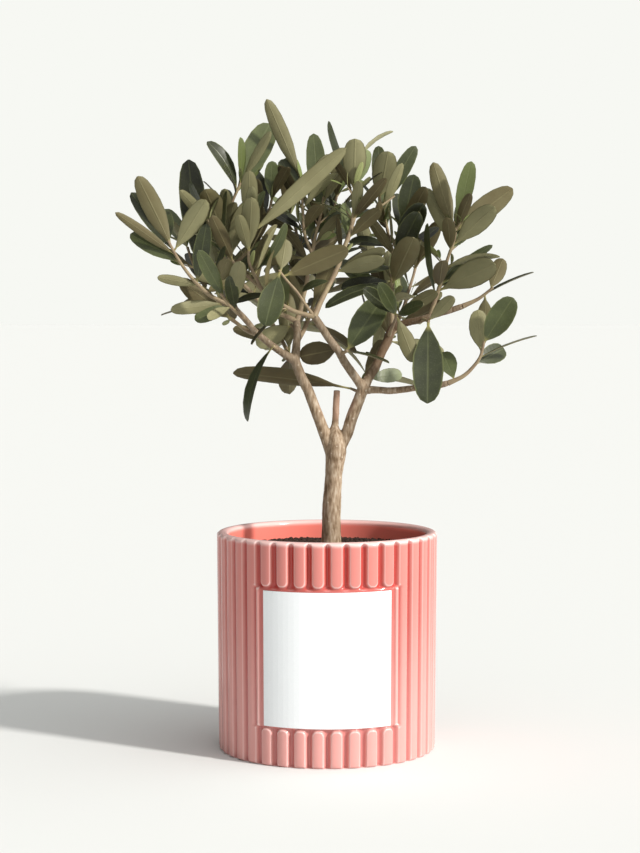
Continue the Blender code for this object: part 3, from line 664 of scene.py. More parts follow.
def growYoung(limbs):
    corners, faces = [], []
    for mass in massRows:
        mesh = nodes[mass].data
        faces += [[len(corners) + corner for corner in face.vertices] for face in mesh.polygons]
        corners += [vertex.co.copy() for vertex in mesh.vertices]
    crown = BVHTree.FromPolygons(corners, faces)
    spurs, leaves = [], []

    def tryLeaf(dice, name, root, forward, azimuth, spread, length):
        for _ in range(youngGrowth["tries"]):
            leaf = youngLeaf(dice, name, root, forward, azimuth, spread, length)
            if isClear(crown, leaf):
                leaves.append(leaf)
                return
            azimuth += eitherWay(dice, youngGrowth["turnStray"])

    for name, entry in limbs.items():
        if not entry.get("pairs"):
            continue
        dice = random.Random(f"{name}/young")
        tip, forward = placeOn(entry["points"], courseLength(entry["points"]) - youngGrowth["tipInset"])
        azimuth = dice.uniform(0, 360)
        for half in (0, 180):
            tryLeaf(dice, f"{name}/tip/{half}", tip, forward, azimuth + half, youngGrowth["leafSpread"],
                    youngGrowth["tipLength"])
            tryLeaf(dice, f"{name}/bud/{half}", tip, forward, azimuth + 90 + half, youngGrowth["budSpread"],
                    youngGrowth["budLength"])
        for number, (run, pairAzimuth) in enumerate(entry["pairs"]):
            for half in (0, 180):
                if dice.random() > youngGrowth["spurShare"]:
                    continue
                root, forward = placeOn(entry["points"], run)
                outward = turned(across(forward), forward, pairAzimuth + half)
                way = turned(forward, forward.cross(outward), dice.uniform(*youngGrowth["spurSpread"]))
                end = root + way * dice.uniform(*youngGrowth["spurLength"])
                if crown.ray_cast(root.lerp(end, 0.5) * mm, way, (end - root).length * mm / 2)[0] is not None:
                    continue
                thick, thin = youngGrowth["spurThick"] / 2, youngGrowth["spurThin"] / 2
                spurs.append([(root, thick), (root.lerp(end, 0.5), (thick + thin) / 2), (end, thin)])
                turn = dice.uniform(0, 180)
                for side in (0, 180):
                    tryLeaf(dice, f"{name}/{number}/{half}/young/{side}", end, way, turn + side,
                            youngGrowth["leafSpread"], youngGrowth["leafLength"])
    return spurs, leaves


def newMaterial(name, look):
    made = bpy.data.materials.new(name)
    made.use_nodes = True
    shader = made.node_tree.nodes["Principled BSDF"]
    shader.inputs["Roughness"].default_value = look["roughness"]
    shader.inputs["IOR"].default_value = look.get("ior", 1.5)
    return made, partial(addNode, made.node_tree)


def overlaid(add, shade, layers):
    # colours laid over one another, each by its own share
    for share, code in layers:
        shade = add("Mix", [share, shade, linear(code)], data_type="RGBA")
    return shade


def coat(made, colour, height=None, relief=(0.0, 0.0)):
    # gives a material its colour and a fine relief of a strength and a depth
    tree = made.node_tree
    shader = tree.nodes["Principled BSDF"]
    tree.links.new(next(out for out in colour.outputs if out.enabled), shader.inputs["Base Color"])
    if height:
        bump = addNode(tree, "Bump", {"Strength": relief[0], "Distance": relief[1], "Height": height})
        tree.links.new(bump.outputs[0], shader.inputs["Normal"])


# How far across and along a leaf its marks reach, the same for both faces
leafMarks = {
    "rib": (0.02, 0.1), "stalk": (0.05, 0.16), "edge": (0.86, 1.0), "cloudShare": 0.3,
    "veinTurn": 60.0, "veinSlant": -4.0, "dust": (0.1, 0.25), "dustShare": 0.2,
}

# Olive leaf, upper face: a waxy cuticle, dark and half glossy, with a pale sunken midrib and dust scales
upperLook = {
    # the lightest tone, a pale grey-green, is a painted sheen for leaves that catch the light
    "tones": ((0.0, "#171808"), (0.3, "#2b301a"), (0.6, "#434a2a"), (0.8, "#5a633a"), (1.0, "#7d8466")),
    "fresh": "#7d8a4e", "edge": "#5b6138", "midrib": "#666c45", "petiole": "#88824f", "scale": "#8d927a",
    "roughness": 0.36, "ior": 1.45, "cloudSize": 9.0 * mm, "scaleSize": 0.9 * mm,
    "ribShare": 0.34, "ribHeight": -6.0, "relief": (0.35, 0.03 * mm),
}

# Olive leaf, underside: felted with tiny silvery-brown scales, matt, with the midrib standing out
underLook = {
    "tones": ((0.0, "#4b4229"), (0.3, "#635b3c"), (0.6, "#777453"), (0.85, "#8a8763"), (1.0, "#9c9977")),
    "fresh": "#8d9460", "edge": "#5b5838", "midrib": "#8f8a63", "petiole": "#98915f",
    "roughness": 0.62, "ior": 1.4, "cloudSize": 11.0 * mm, "feltSize": 0.7 * mm,
    "ribShare": 0.22, "ribHeight": 4.0, "relief": (0.5, 0.08 * mm),
}


def leafMaterial(name, look):
    made, add = newMaterial(name, look)
    # how far across and along the leaf a point lies, and the leaf's own tone
    leafPlace = add("Attribute", attribute_name="leafPlace").outputs["Vector"]
    aside, along, tone = add("SeparateXYZ", [leafPlace]).outputs
    side = add("Math", [aside], operation="ABSOLUTE")
    rib = add("MapRange", [side, *leafMarks["rib"], 1.0, 0.0], interpolation_type="SMOOTHSTEP")
    stalk = add("MapRange", [along, *leafMarks["stalk"], 1.0, 0.0], interpolation_type="SMOOTHSTEP")
    edge = add("MapRange", [side, *leafMarks["edge"], 0.0, 1.0], interpolation_type="SMOOTHSTEP")
    fresh = add("Attribute", attribute_name="fresh").outputs["Fac"]
    place = add("TexCoord").outputs["Object"]
    cloud = add("TexNoise", {"Vector": place, "Scale": 1 / look["cloudSize"], "Detail": 2.0})
    cloudShift = add("Math", [cloud, leafMarks["cloudShare"], -leafMarks["cloudShare"] / 2],
                     operation="MULTIPLY_ADD")
    toneHere = add("Math", [tone, cloudShift], operation="ADD")
    ribShare = add("Math", [rib, look["ribShare"]], operation="MULTIPLY")
    shares = {"fresh": fresh, "edge": edge, "midrib": ribShare, "petiole": stalk}
    if "scale" in look:
        dust = add("TexVoronoi", {"Vector": place, "Scale": 1 / look["scaleSize"]})
        shares["scale"] = add("MapRange", [dust, *leafMarks["dust"], leafMarks["dustShare"], 0.0])
        slope = add("Math", [side, leafMarks["veinSlant"]], operation="MULTIPLY")
        veinTurn = add("Math", [along, leafMarks["veinTurn"], slope], operation="MULTIPLY_ADD")
        fine = add("Math", [veinTurn], operation="SINE")
    else:
        fine = add("TexNoise", {"Vector": place, "Scale": 1 / look["feltSize"]})
    height = add("Math", [rib, look["ribHeight"], fine], operation="MULTIPLY_ADD")
    ground = add("ValToRGB", [toneHere], stops=look["tones"])
    shade = overlaid(add, ground, [(share, look[mark]) for mark, share in shares.items()])
    coat(made, shade, height, look["relief"])
    return made


# Olive bark on young wood: smooth and grey-tan, with paler corky pores and darker lengthwise streaks
barkLook = {
    "tones": ((0.28, "#4d3a26"), (0.44, "#7d674e"), (0.58, "#a38f77"), (0.76, "#c8baa7")),
    "pore": "#d3c6b2", "poreEdge": (0.08, 0.18), "poreShare": 0.7,
    "streakSize": 1.3 * mm, "streakStretch": (1.0, 1.0, 0.25), "streakShare": 0.65,
    "cloudSize": 9.0 * mm, "cloudShare": 0.4, "roughness": 0.8, "relief": (0.5, 0.12 * mm),
    # the boughs above the fork, inside the crown, are darker as painted shade, the one on the right browner,
    # the cut leader a dry brownish pink:
    # colour, middle of the region in mm, how far off it starts to fade and is gone, and its share
    "regions": (
        ("#5f5340", (0.0, 0.0, 290.0), (55.0, 95.0), 0.6),
        ("#5a4129", (36.0, 12.0, 243.0), (14.0, 34.0), 0.7),
        ("#a3806d", (5.7, 0.0, 207.0), (9.0, 13.0), 0.6),
    ),
}


def barkMaterial():
    made, add = newMaterial("oliveBark", barkLook)
    place = add("TexCoord").outputs["Object"]
    stretched = add("VectorMath", [place, barkLook["streakStretch"]], operation="MULTIPLY")
    streaks = add("TexNoise", {"Vector": stretched, "Scale": 1 / barkLook["streakSize"], "Detail": 3.0})
    cloud = add("TexNoise", {"Vector": place, "Scale": 1 / barkLook["cloudSize"], "Detail": 2.0})
    clouded = add("Math", [cloud, barkLook["cloudShare"]], operation="MULTIPLY")
    tone = add("Math", [streaks, barkLook["streakShare"], clouded], operation="MULTIPLY_ADD")
    pores = add("TexVoronoi", {"Vector": place, "Scale": 1 / woodShape["poreSpacing"]})
    onPore = add("MapRange", [pores, *barkLook["poreEdge"], barkLook["poreShare"], 0.0],
                 interpolation_type="SMOOTHSTEP")
    layers = [(onPore, barkLook["pore"])]
    # the first region is painted shade on the boughs inside the crown
    for code, middle, (near, far), share in barkLook["regions"]:
        away = add("VectorMath", [place, [number * mm for number in middle]], operation="DISTANCE")
        reach = add("MapRange", [away, near * mm, far * mm, share, 0.0],
                    interpolation_type="SMOOTHSTEP")
        layers.append((reach, code))
    tan = add("ValToRGB", [tone], stops=barkLook["tones"])
    coat(made, overlaid(add, tan, layers), streaks, barkLook["relief"])
    return made


# Bark of this year's twigs: thin and smooth, brownish tan
twigLook = {
    "tones": ((0.0, "#6b5842"), (0.4, "#85725a"), (0.7, "#978868"), (1.0, "#a89c80")),
    "cloudSize": 5.0 * mm, "roughness": 0.65, "relief": (0.4, 0.1 * mm),
}


def twigMaterial():
    made, add = newMaterial("twigBark", twigLook)
    place = add("TexCoord").outputs["Object"]
    cloud = add("TexNoise", {"Vector": place, "Scale": 1 / twigLook["cloudSize"], "Detail": 4.0})
    coat(made, add("ValToRGB", [cloud], stops=twigLook["tones"]), cloud, twigLook["relief"])
    return made


# Leaves: one blank per leaf, bent and shaped along the leaf by the tree
leafShape = {
    "around": 8, "along": 9, "thickness": 0.016, "fold": 11.0, "wave": 0.03, "weld": 0.02 * mm,
    "stations": ((0.0, 0.0), (0.111, 0.07), (0.222, 0.16), (0.333, 0.29), (0.444, 0.45), (0.556, 0.62),
                 (0.667, 0.78), (0.778, 0.9), (0.889, 0.967), (1.0, 1.0)),
    "outline": ((0.0, 0.1), (0.07, 0.09), (0.16, 0.32), (0.29, 0.66), (0.45, 0.94), (0.62, 1.0),
                (0.78, 0.91), (0.9, 0.71), (0.967, 0.46), (1.0, 0.08)),
    "rippleTurn": 9.0, "rippleSlant": 1.3, "leastBend": 0.00001,
    # shadeDarkening skews the random tones of leaves without a listed tone towards dark: painted shade for
    # the crown's inside and back
    "widestShift": (0.86, 1.14), "shadeDarkening": 1.4, "toneStray": 0.25, "sharpFrom": 55,
}


def shapeLeaves(add, sizes):
    named = {name: add("InputNamedAttribute", {"Name": name}, data_type="FLOAT_VECTOR")
             for name in ("direction", "upper", "root", "blank")}
    named.update({name: add("InputNamedAttribute", {"Name": name}, data_type="FLOAT")
                  for name in ("leafLength", "leafWidth", "curl", "tone", "widest")})
    direction, upper = named["direction"], named["upper"]
    place = add("InputPosition")
    blank = add("MeshCylinder", {"Vertices": sizes["Around"], "Side Segments": sizes["Along"], "Radius": 1.0,
                                 "Depth": 1.0}, fill_type="NGON")
    marked = add("StoreNamedAttribute", {"Geometry": blank, "Name": "blank", "Value": place},
                 data_type="FLOAT_VECTOR")
    rooted = add("StoreNamedAttribute", {"Geometry": sizes["Geometry"], "Name": "root", "Value": place},
                 data_type="FLOAT_VECTOR")
    copies = add("InstanceOnPoints", {"Points": rooted, "Instance": marked})
    real = add("RealizeInstances", {"Geometry": copies})
    # a blank's own places give how far aside, how far to the upper face and how far along a point lies
    aside, outward, run = add("SeparateXYZ", [named["blank"]]).outputs
    even = add("Math", [run, 0.5], operation="ADD")
    along = add("FloatCurve", {"Value": even}, curve=leafShape["stations"])
    shifted = add("Math", [along, named["widest"]], operation="POWER")
    outline = add("FloatCurve", {"Value": shifted}, curve=leafShape["outline"])
    # the midrib is an arc that starts along the direction and bends away from the upper face
    bend = add("Math", [along, named["curl"], leafShape["leastBend"]], operation="MULTIPLY_ADD")
    sine = add("Math", [bend], operation="SINE")
    cosine = add("Math", [bend], operation="COSINE")
    reach = add("Math", [along, named["leafLength"]], operation="MULTIPLY")
    radius = add("Math", [reach, bend], operation="DIVIDE")
    ahead = add("Math", [radius, sine], operation="MULTIPLY")
    fall = add("Math", [cosine, 1.0], operation="SUBTRACT")
    down = add("Math", [radius, fall], operation="MULTIPLY")
    onward = add("VectorMath", [direction, ahead, named["root"]], operation="MULTIPLY_ADD")
    midrib = add("VectorMath", [upper, down, onward], operation="MULTIPLY_ADD")
    facingOn = add("VectorMath", [direction, sine], operation="MULTIPLY")
    facing = add("VectorMath", [upper, cosine, facingOn], operation="MULTIPLY_ADD")
    # the halves fold up along the midrib, and ripple
    halfWidth = add("Math", [outline, named["leafWidth"]], operation="MULTIPLY")
    sideways = add("Math", [halfWidth, aside], operation="MULTIPLY")
    spread = add("Math", [sideways], operation="ABSOLUTE")
    folded = add("Math", [spread, sizes["Fold"]], operation="MULTIPLY")
    rippleRun = add("Math", [along, leafShape["rippleTurn"], named["tone"]], operation="MULTIPLY_ADD")
    rippleTurn = add("Math", [aside, leafShape["rippleSlant"], rippleRun], operation="MULTIPLY_ADD")
    ripple = add("Math", [rippleTurn], operation="SINE")
    rippleSize = add("Math", [spread, sizes["Wave"]], operation="MULTIPLY")
    rippled = add("Math", [ripple, rippleSize, folded], operation="MULTIPLY_ADD")
    halfThick = add("Math", [named["leafLength"], sizes["Thickness"]], operation="MULTIPLY")
    lift = add("Math", [halfThick, outward, rippled], operation="MULTIPLY_ADD")
    crosswise = add("VectorMath", [direction, upper], operation="CROSS_PRODUCT")
    spreadPlace = add("VectorMath", [crosswise, sideways, midrib], operation="MULTIPLY_ADD")
    final = add("VectorMath", [facing, lift, spreadPlace], operation="MULTIPLY_ADD")
    shaped = add("SetPosition", {"Geometry": real, "Position": final})
    welded = add("MergeByDistance", {"Geometry": shaped, "Distance": sizes["Weld"]})
    outwards = add("FlipFaces", {"Mesh": welded})  # the way from the blank to the leaf mirrors it
    leafPlace = add("CombineXYZ", [aside, along, named["tone"]])
    drawn = add("StoreNamedAttribute", {"Geometry": outwards, "Name": "leafPlace", "Value": leafPlace},
                data_type="FLOAT_VECTOR")
    isUpper = add("Compare", [outward, 0.0], data_type="FLOAT", operation="GREATER_THAN")
    lower = add("SetMaterial", {"Geometry": drawn, "Material": sizes["Under Material"]})
    return add("SetMaterial", {"Geometry": lower, "Selection": isUpper, "Material": sizes["Upper Material"]})


def makeLeaves(leaves):
    made = addPiece("leaves", [leaf["root"] * mm for leaf in leaves])
    tones, shifts = [], []
    for leaf in leaves:
        dice = random.Random(leaf["name"])
        # leaves without a listed tone, which fill the crown's inside and back, get darker tones as painted
        # shade
        if leaf.get("tone") is None:
            tones.append(dice.random() ** leafShape["shadeDarkening"])
        else:
            tones.append(min(1.0, max(0.0, leaf["tone"] + eitherWay(dice, leafShape["toneStray"]))))
        shifts.append(dice.uniform(*leafShape["widestShift"]))
    storeOn(
        made.data, tone=tones, widest=shifts, direction=[leaf["direction"] for leaf in leaves],
        upper=[leaf["upper"] for leaf in leaves], leafLength=[leaf["length"] * mm for leaf in leaves],
        leafWidth=[leaf["width"] / 2 * mm for leaf in leaves],
        curl=[math.radians(leaf["curl"]) for leaf in leaves],
        fresh=[leaf.get("fresh", 0.0) for leaf in leaves])
    addModifier(made, "shapeLeaves", shapeLeaves, {
        "Around": leafShape["around"], "Along": leafShape["along"], "Wave": leafShape["wave"],
        "Thickness": leafShape["thickness"] / 2, "Fold": math.tan(math.radians(leafShape["fold"])),
        "Weld": leafShape["weld"],
        "Upper Material": leafMaterial("leafUpper", upperLook),
        "Under Material": leafMaterial("leafUnder", underLook)})
    settle(made)
    smooth(made, leafShape["sharpFrom"])
    dress(made, "leaves", *massRows)


# Wood: tubes along the courses, fused into one skin, with the bark's relief pressed into it
woodShape = {
    "spacing": 1.2, "sides": 20, "twigSides": 10, "twigSharpFrom": 50, "voxel": 0.42 * mm,
    "smoothing": 5, "easing": 0.5,
    "flare": 0.22, "flareRun": 6.0, "nodeSwell": 0.16, "nodeRun": 1.6,
    "lumpSize": 7.0 * mm, "lumpHeight": 0.5 * mm, "grainSize": 1.6 * mm, "grainHeight": 0.16 * mm,
    "grainStretch": (1.0, 1.0, 0.3),
    "poreSpacing": 4.0 * mm, "poreHeight": 0.16 * mm, "poreEdge": (0.08, 0.2),
}


def sweepTubes(add, sizes):
    thickness = add("InputNamedAttribute", {"Name": "limbRadius"}, data_type="FLOAT")
    paths = add("MeshToCurve", {"Mesh": sizes["Geometry"]})
    ring = add("CurvePrimitiveCircle", {"Resolution": sizes["Sides"], "Radius": 1.0})
    swept = add("CurveToMesh", {"Curve": paths, "Profile Curve": ring, "Scale": thickness, "Fill Caps": True})
    real = add("RealizeInstances", {"Geometry": swept})
    return add("SetMaterial", {"Geometry": real, "Material": sizes["Material"]})


def smoothCourse(points, radii):
    # points along a soft curve through the knees of a course, with their radii and runs
    fine = []
    run = 0.0
    for index in range(len(points) - 1):
        before = points[max(0, index - 1)]
        first, second = points[index], points[index + 1]
        after = points[min(len(points) - 1, index + 2)]
        stretch = (second - first).length
        count = max(1, round(stretch / woodShape["spacing"]))
        for step in range(count + (index == len(points) - 2)):
            share = step / count
            square, cube = share * share, share ** 3
            place = (before * (-cube + 2 * square - share) + first * (3 * cube - 5 * square + 2)
                     + second * (-3 * cube + 4 * square + share) + after * (cube - square)) / 2
            radius = radii[index] + (radii[index + 1] - radii[index]) * share
            fine.append((place, radius, run + stretch * share))
        run += stretch
    return fine


def limbTube(name, entry):
    # the places and radii of a limb's tube, wider at its foot and at its pairs of leaves
    points = entry["points"]
    if name == "trunk":
        fine = smoothCourse(points, [thickness / 2 for _, _, thickness in trunkCourse])
        return [(place, radius) for place, radius, _ in fine]
    thick, thin, whole = entry["row"]["thick"], entry["row"]["thin"], courseLength(points)
    runs = [courseLength(points[:count + 1]) for count in range(len(points))]
    radii = [(thick + (thin - thick) * run / whole) / 2 for run in runs]
    tube = []
    for place, radius, run in smoothCourse(points, radii):
        swell = woodShape["flare"] * math.exp(-((run / woodShape["flareRun"]) ** 2))
        for pairRun, _ in entry.get("pairs", ()):
            swell += woodShape["nodeSwell"] * math.exp(-(((run - pairRun) / woodShape["nodeRun"]) ** 2))
        tube.append((place, radius * (1 + swell)))
    return tube


def addTubes(name, tubes, sides, material):
    points, radii, edges = [], [], []
    for tube in tubes:
        edges += [(len(points) + step, len(points) + step + 1) for step in range(len(tube) - 1)]
        points += [place * mm for place, _ in tube]
        radii += [radius * mm for _, radius in tube]
    made = addPiece(name, points, edges)
    storeOn(made.data, limbRadius=radii)
    addModifier(made, "sweepTubes", sweepTubes, {"Sides": sides, "Material": material})
    settle(made)
    return made


def pressBark(add, sizes):
    place = add("InputPosition")
    lumps = add("TexNoise", {"Vector": place, "Scale": sizes["Lump Scale"], "Detail": 1.0})
    lumpRise = add("Math", [lumps, 0.5], operation="SUBTRACT")
    lumped = add("Math", [lumpRise, sizes["Lump Height"]], operation="MULTIPLY")
    stretched = add("VectorMath", [place, woodShape["grainStretch"]], operation="MULTIPLY")
    grain = add("TexNoise", {"Vector": stretched, "Scale": sizes["Grain Scale"], "Detail": 2.0})
    grainRise = add("Math", [grain, 0.5], operation="SUBTRACT")
    grained = add("Math", [grainRise, sizes["Grain Height"], lumped], operation="MULTIPLY_ADD")
    pores = add("TexVoronoi", {"Vector": place, "Scale": sizes["Pore Scale"]})
    poreRise = add("MapRange", [pores, *woodShape["poreEdge"], 1.0, 0.0], interpolation_type="SMOOTHSTEP")
    height = add("Math", [poreRise, sizes["Pore Height"], grained], operation="MULTIPLY_ADD")
    offset = add("VectorMath", [add("InputNormal"), height], operation="MULTIPLY")
    moved = add("SetPosition", {"Geometry": sizes["Geometry"], "Offset": offset})
    return add("SetMaterial", {"Geometry": moved, "Material": sizes["Material"]})


def makeWood(limbs):
    names = ["trunk", *limbRows]
    bark = barkMaterial()
    made = addTubes("wood", [limbTube(name, limbs[name]) for name in names], woodShape["sides"], bark)
    fuse = made.modifiers.new("fuse", "REMESH")
    fuse.mode = "VOXEL"
    fuse.voxel_size = woodShape["voxel"]
    ease = made.modifiers.new("ease", "SMOOTH")
    ease.factor = woodShape["easing"]
    ease.iterations = woodShape["smoothing"]
    addModifier(made, "pressBark", pressBark, {
        "Lump Scale": 1 / woodShape["lumpSize"], "Lump Height": woodShape["lumpHeight"],
        "Grain Scale": 1 / woodShape["grainSize"], "Grain Height": woodShape["grainHeight"],
        "Pore Scale": 1 / woodShape["poreSpacing"], "Pore Height": woodShape["poreHeight"], "Material": bark})
    settle(made)
    made.data.shade_smooth()
    dress(made, "bark", *names)


def makeTwigs(limbs, spurs):
    tubes = [limbTube(name, entry) for name, entry in limbs.items() if entry["node"] in massRows]
    made = addTubes("twigs", tubes + spurs, woodShape["twigSides"], twigMaterial())
    smooth(made, woodShape["twigSharpFrom"])
    dress(made, "bark", *massRows)


# Pot: a turned wall; the tree presses the ribs, the panel and its thin raised border into its outside
potShape = {
    "radius": 65.0, "height": 129.7, "flare": 0.014, "wall": 6.2, "floor": 7.0, "footRounding": 2.0,
    "rimRounding": 2.2, "roundingSteps": 8, "rimSteps": 12, "columns": 38 * 24, "sharpFrom": 70,
    # from which height to which, and in how many steps; the last run goes on to the rim's rounding
    "runs": ((2.0, 18.0, 4), (18.0, 24.0, 12), (24.0, 100.0, 6), (100.0, 107.0, 14), (107.0, 121.0, 3)),
    "lastSteps": 14, "belowRim": (5.0, 11.0), "floorRounding": ((0.0, 3.0), (1.0, 0.8), (3.0, 0.0)),
    "ribs": 38, "grooveDepth": 1.9, "grooveHalf": 2.5, "grooveTop": 127.0, "dome": 1.3, "corner": 2.4,
    "panelMiddle": 62.65, "panelHalf": 41.55, "panelBearing": 37.9, "borderBearing": 42.0,
    "flatRim": 2.5 * mm, "skin": (0.6 * mm, 3.0 * mm), "panelEase": 0.9,
    "border": ((0.0, 0.72), (0.862, 0.72), (0.885, 0.62), (0.901, 0.1), (0.918, 0.1), (0.938, 0.75),
               (0.955, 0.85), (0.975, 0.35), (1.0, 0.0)),
    "groove": ((0.0, 0.0), (0.12, 0.06), (0.38, 0.6), (0.62, 0.93), (1.0, 1.0)),
}


def potProfile():
    # radius and height from the middle of the underside, up the outside, over the rim and down the inside
    radius, height, foot, rim = (potShape[key] for key in ("radius", "height", "footRounding", "rimRounding"))
    inside = radius - potShape["wall"]

    def skinAt(level):
        # the pot widens a little from its foot to its rim
        return radius * (1 + potShape["flare"] * (level / height - 0.5))

    levels = [(0.0, 0.0), (radius / 2, 0.0)]
    for step in range(potShape["roundingSteps"] + 1):
        angle = math.radians(90 * step / potShape["roundingSteps"] - 90)
        levels.append((skinAt(0) - foot * (1 - math.cos(angle)), foot * (1 + math.sin(angle))))
    lastRun = (potShape["runs"][-1][1], height - rim, potShape["lastSteps"])
    for start, end, count in (*potShape["runs"], lastRun):
        for step in range(1, count + 1):
            level = start + (end - start) * step / count
            levels.append((skinAt(level), level))
    rimHalf = (skinAt(height) - inside) / 2
    for step in range(1, potShape["rimSteps"] + 1):
        angle = math.radians(180 * step / potShape["rimSteps"])
        levels.append((inside + rimHalf * (1 + math.cos(angle)), height - rim * (1 - math.sin(angle))))
    levels += [(inside, height - drop) for drop in potShape["belowRim"]]
    levels += [(inside - inward, potShape["floor"] + rise) for inward, rise in potShape["floorRounding"]]
    return levels + [(0.0, potShape["floor"])]


def turnedBody(name, levels, columns):
    # a ring of points for each radius and height, but a single one on the axis, and faces from ring to ring
    points, faces, rings = [], [], []
    for radius, height in levels:
        count = columns if radius else 1
        rings.append([len(points) + column % count for column in range(columns + 1)])
        for column in range(count):
            bearing = math.tau * column / columns
            points.append((radius * mm * math.sin(bearing), -radius * mm * math.cos(bearing), height * mm))
    for low, high in zip(rings, rings[1:]):
        for column in range(columns):
            corners = (low[column], low[column + 1], high[column + 1], high[column])
            faces.append(list(dict.fromkeys(corners)))
    return addPiece(name, points, faces=faces)


def pressRibs(add, sizes):
    place = add("InputPosition")
    flat = add("VectorMath", [place, (1.0, 1.0, 0.0)], operation="MULTIPLY")
    radius = add("VectorMath", [flat], operation="LENGTH")
    right, back, height = add("SeparateXYZ", [place]).outputs
    front = add("Math", [back, -1.0], operation="MULTIPLY")
    bearing = add("Math", [right, front], operation="ARCTAN2")
    away = add("Math", [bearing], operation="ABSOLUTE")
    # half the pitch is a rib's middle, so this is the distance along the arc from the nearest groove's middle
    pitch = add("Math", [math.tau, sizes["Ribs"]], operation="DIVIDE")
    halfPitch = add("Math", [pitch, 0.5], operation="MULTIPLY")
    nearest = add("Math", [bearing, pitch], operation="PINGPONG")
    backward = add("Math", [nearest, halfPitch], operation="SUBTRACT")
    folded = add("Math", [backward], operation="ABSOLUTE")
    fromGroove = add("Math", [halfPitch, folded], operation="SUBTRACT")
    groove = add("Math", [fromGroove, sizes["Radius"]], operation="MULTIPLY")
    # a groove ends in a round tip at its top and at the panel
    over = add("Math", [height, sizes["Groove Top"]], operation="SUBTRACT")
    overTop = add("Math", [over, 0.0], operation="MAXIMUM")
    fromLine = add("VectorMath", [add("CombineXYZ", [groove, overTop])], operation="LENGTH")
    sideOut = add("Math", [sizes["Groove Half Width"], fromLine], operation="SUBTRACT")
    fromMiddle = add("Math", [height, sizes["Panel Middle"]], operation="SUBTRACT")
    level = add("Math", [fromMiddle], operation="ABSOLUTE")
    endOut = add("Math", [sizes["Panel Half"], level], operation="SUBTRACT")
    offPanel = add("Math", [away, sizes["Panel Bearing"]], operation="GREATER_THAN")
    endHere = add("Math", [endOut, offPanel], operation="SUBTRACT")
    reaches = []
    for reach in (sideOut, endHere):
        rounded = add("Math", [reach, sizes["Corner"]], operation="ADD")
        reaches.append(add("Math", [rounded, 0.0], operation="MAXIMUM"))
    cornerLength = add("VectorMath", [add("CombineXYZ", reaches)], operation="LENGTH")
    outside = add("Math", [cornerLength, sizes["Corner"]], operation="SUBTRACT")
    share = add("Math", [outside, sizes["Groove Half Width"]], operation="DIVIDE", use_clamp=True)
    pressed = add("FloatCurve", {"Value": share}, curve=potShape["groove"])
    # the panel's border
    borderShare = add("Math", [away, sizes["Border Bearing"]], operation="DIVIDE")
    borderDepth = add("FloatCurve", {"Value": borderShare}, curve=potShape["border"])
    inBorder = add("Math", [away, sizes["Border Bearing"]], operation="LESS_THAN")
    edgeStart = add("Math", [endOut, sizes["Groove Half Width"]], operation="DIVIDE")
    between = add("MapRange", [edgeStart, 0.0, potShape["panelEase"], 0.0, 1.0],
                  interpolation_type="SMOOTHSTEP")
    banded = add("Math", [between, inBorder], operation="MULTIPLY")
    depthShare = add("Mix", [banded, pressed, borderDepth], data_type="FLOAT")
    lowered = add("Math", [depthShare, sizes["Groove Depth"]], operation="MULTIPLY")
    # the ribs' domed backs fade out towards the rim and in the panel
    ribShare = add("Math", [folded, halfPitch], operation="DIVIDE")
    ribSquare = add("Math", [ribShare, 2.0], operation="POWER")
    notBanded = add("Math", [1.0, banded], operation="SUBTRACT")
    domeHere = add("Math", [notBanded, sizes["Dome"]], operation="MULTIPLY")
    flatRim = add("MapRange", [over, 0.0, potShape["flatRim"], 1.0, 0.0], interpolation_type="SMOOTHSTEP")
    domeFaded = add("Math", [domeHere, flatRim], operation="MULTIPLY")
    depth = add("Math", [ribSquare, domeFaded, lowered], operation="MULTIPLY_ADD")
    # only the outside is pressed, straight towards the pot's axis
    fromSkin = add("Math", [sizes["Radius"], radius], operation="SUBTRACT")
    onSkin = add("MapRange", [fromSkin, *potShape["skin"], 1.0, 0.0], interpolation_type="SMOOTHSTEP")
    depthHere = add("Math", [depth, onSkin], operation="MULTIPLY")
    shrink = add("Math", [depthHere, radius], operation="DIVIDE")
    inward = add("Math", [shrink, -1.0], operation="MULTIPLY")
    offset = add("VectorMath", [flat, inward], operation="MULTIPLY")
    # the groove's depth share also colours the glaze: coral pooling, deepened as painted shade in the grooves
    pooledAndShaded = add("Math", [depthShare, onSkin], operation="MULTIPLY")
    marked = add("StoreNamedAttribute", {"Geometry": sizes["Geometry"], "Name": "glazePool", "Value": pooledAndShaded},
                 data_type="FLOAT")
    moved = add("SetPosition", {"Geometry": marked, "Offset": offset})
    return add("SetMaterial", {"Geometry": moved, "Material": sizes["Material"]})


def makePot():
    made = turnedBody("glazedPot", potProfile(), potShape["columns"])
    lengths = {"Radius": "radius", "Groove Depth": "grooveDepth", "Groove Half Width": "grooveHalf",
               "Groove Top": "grooveTop", "Dome": "dome", "Corner": "corner", "Panel Middle": "panelMiddle",
               "Panel Half": "panelHalf"}
    addModifier(made, "pressRibs", pressRibs, {
        "Ribs": float(potShape["ribs"]), **{label: potShape[key] * mm for label, key in lengths.items()},
        "Panel Bearing": math.radians(potShape["panelBearing"]),
        "Border Bearing": math.radians(potShape["borderBearing"]), "Material": glazeMaterial()})
    settle(made)
    smooth(made, potShape["sharpFrom"])
    dress(made, "glaze", "pot")


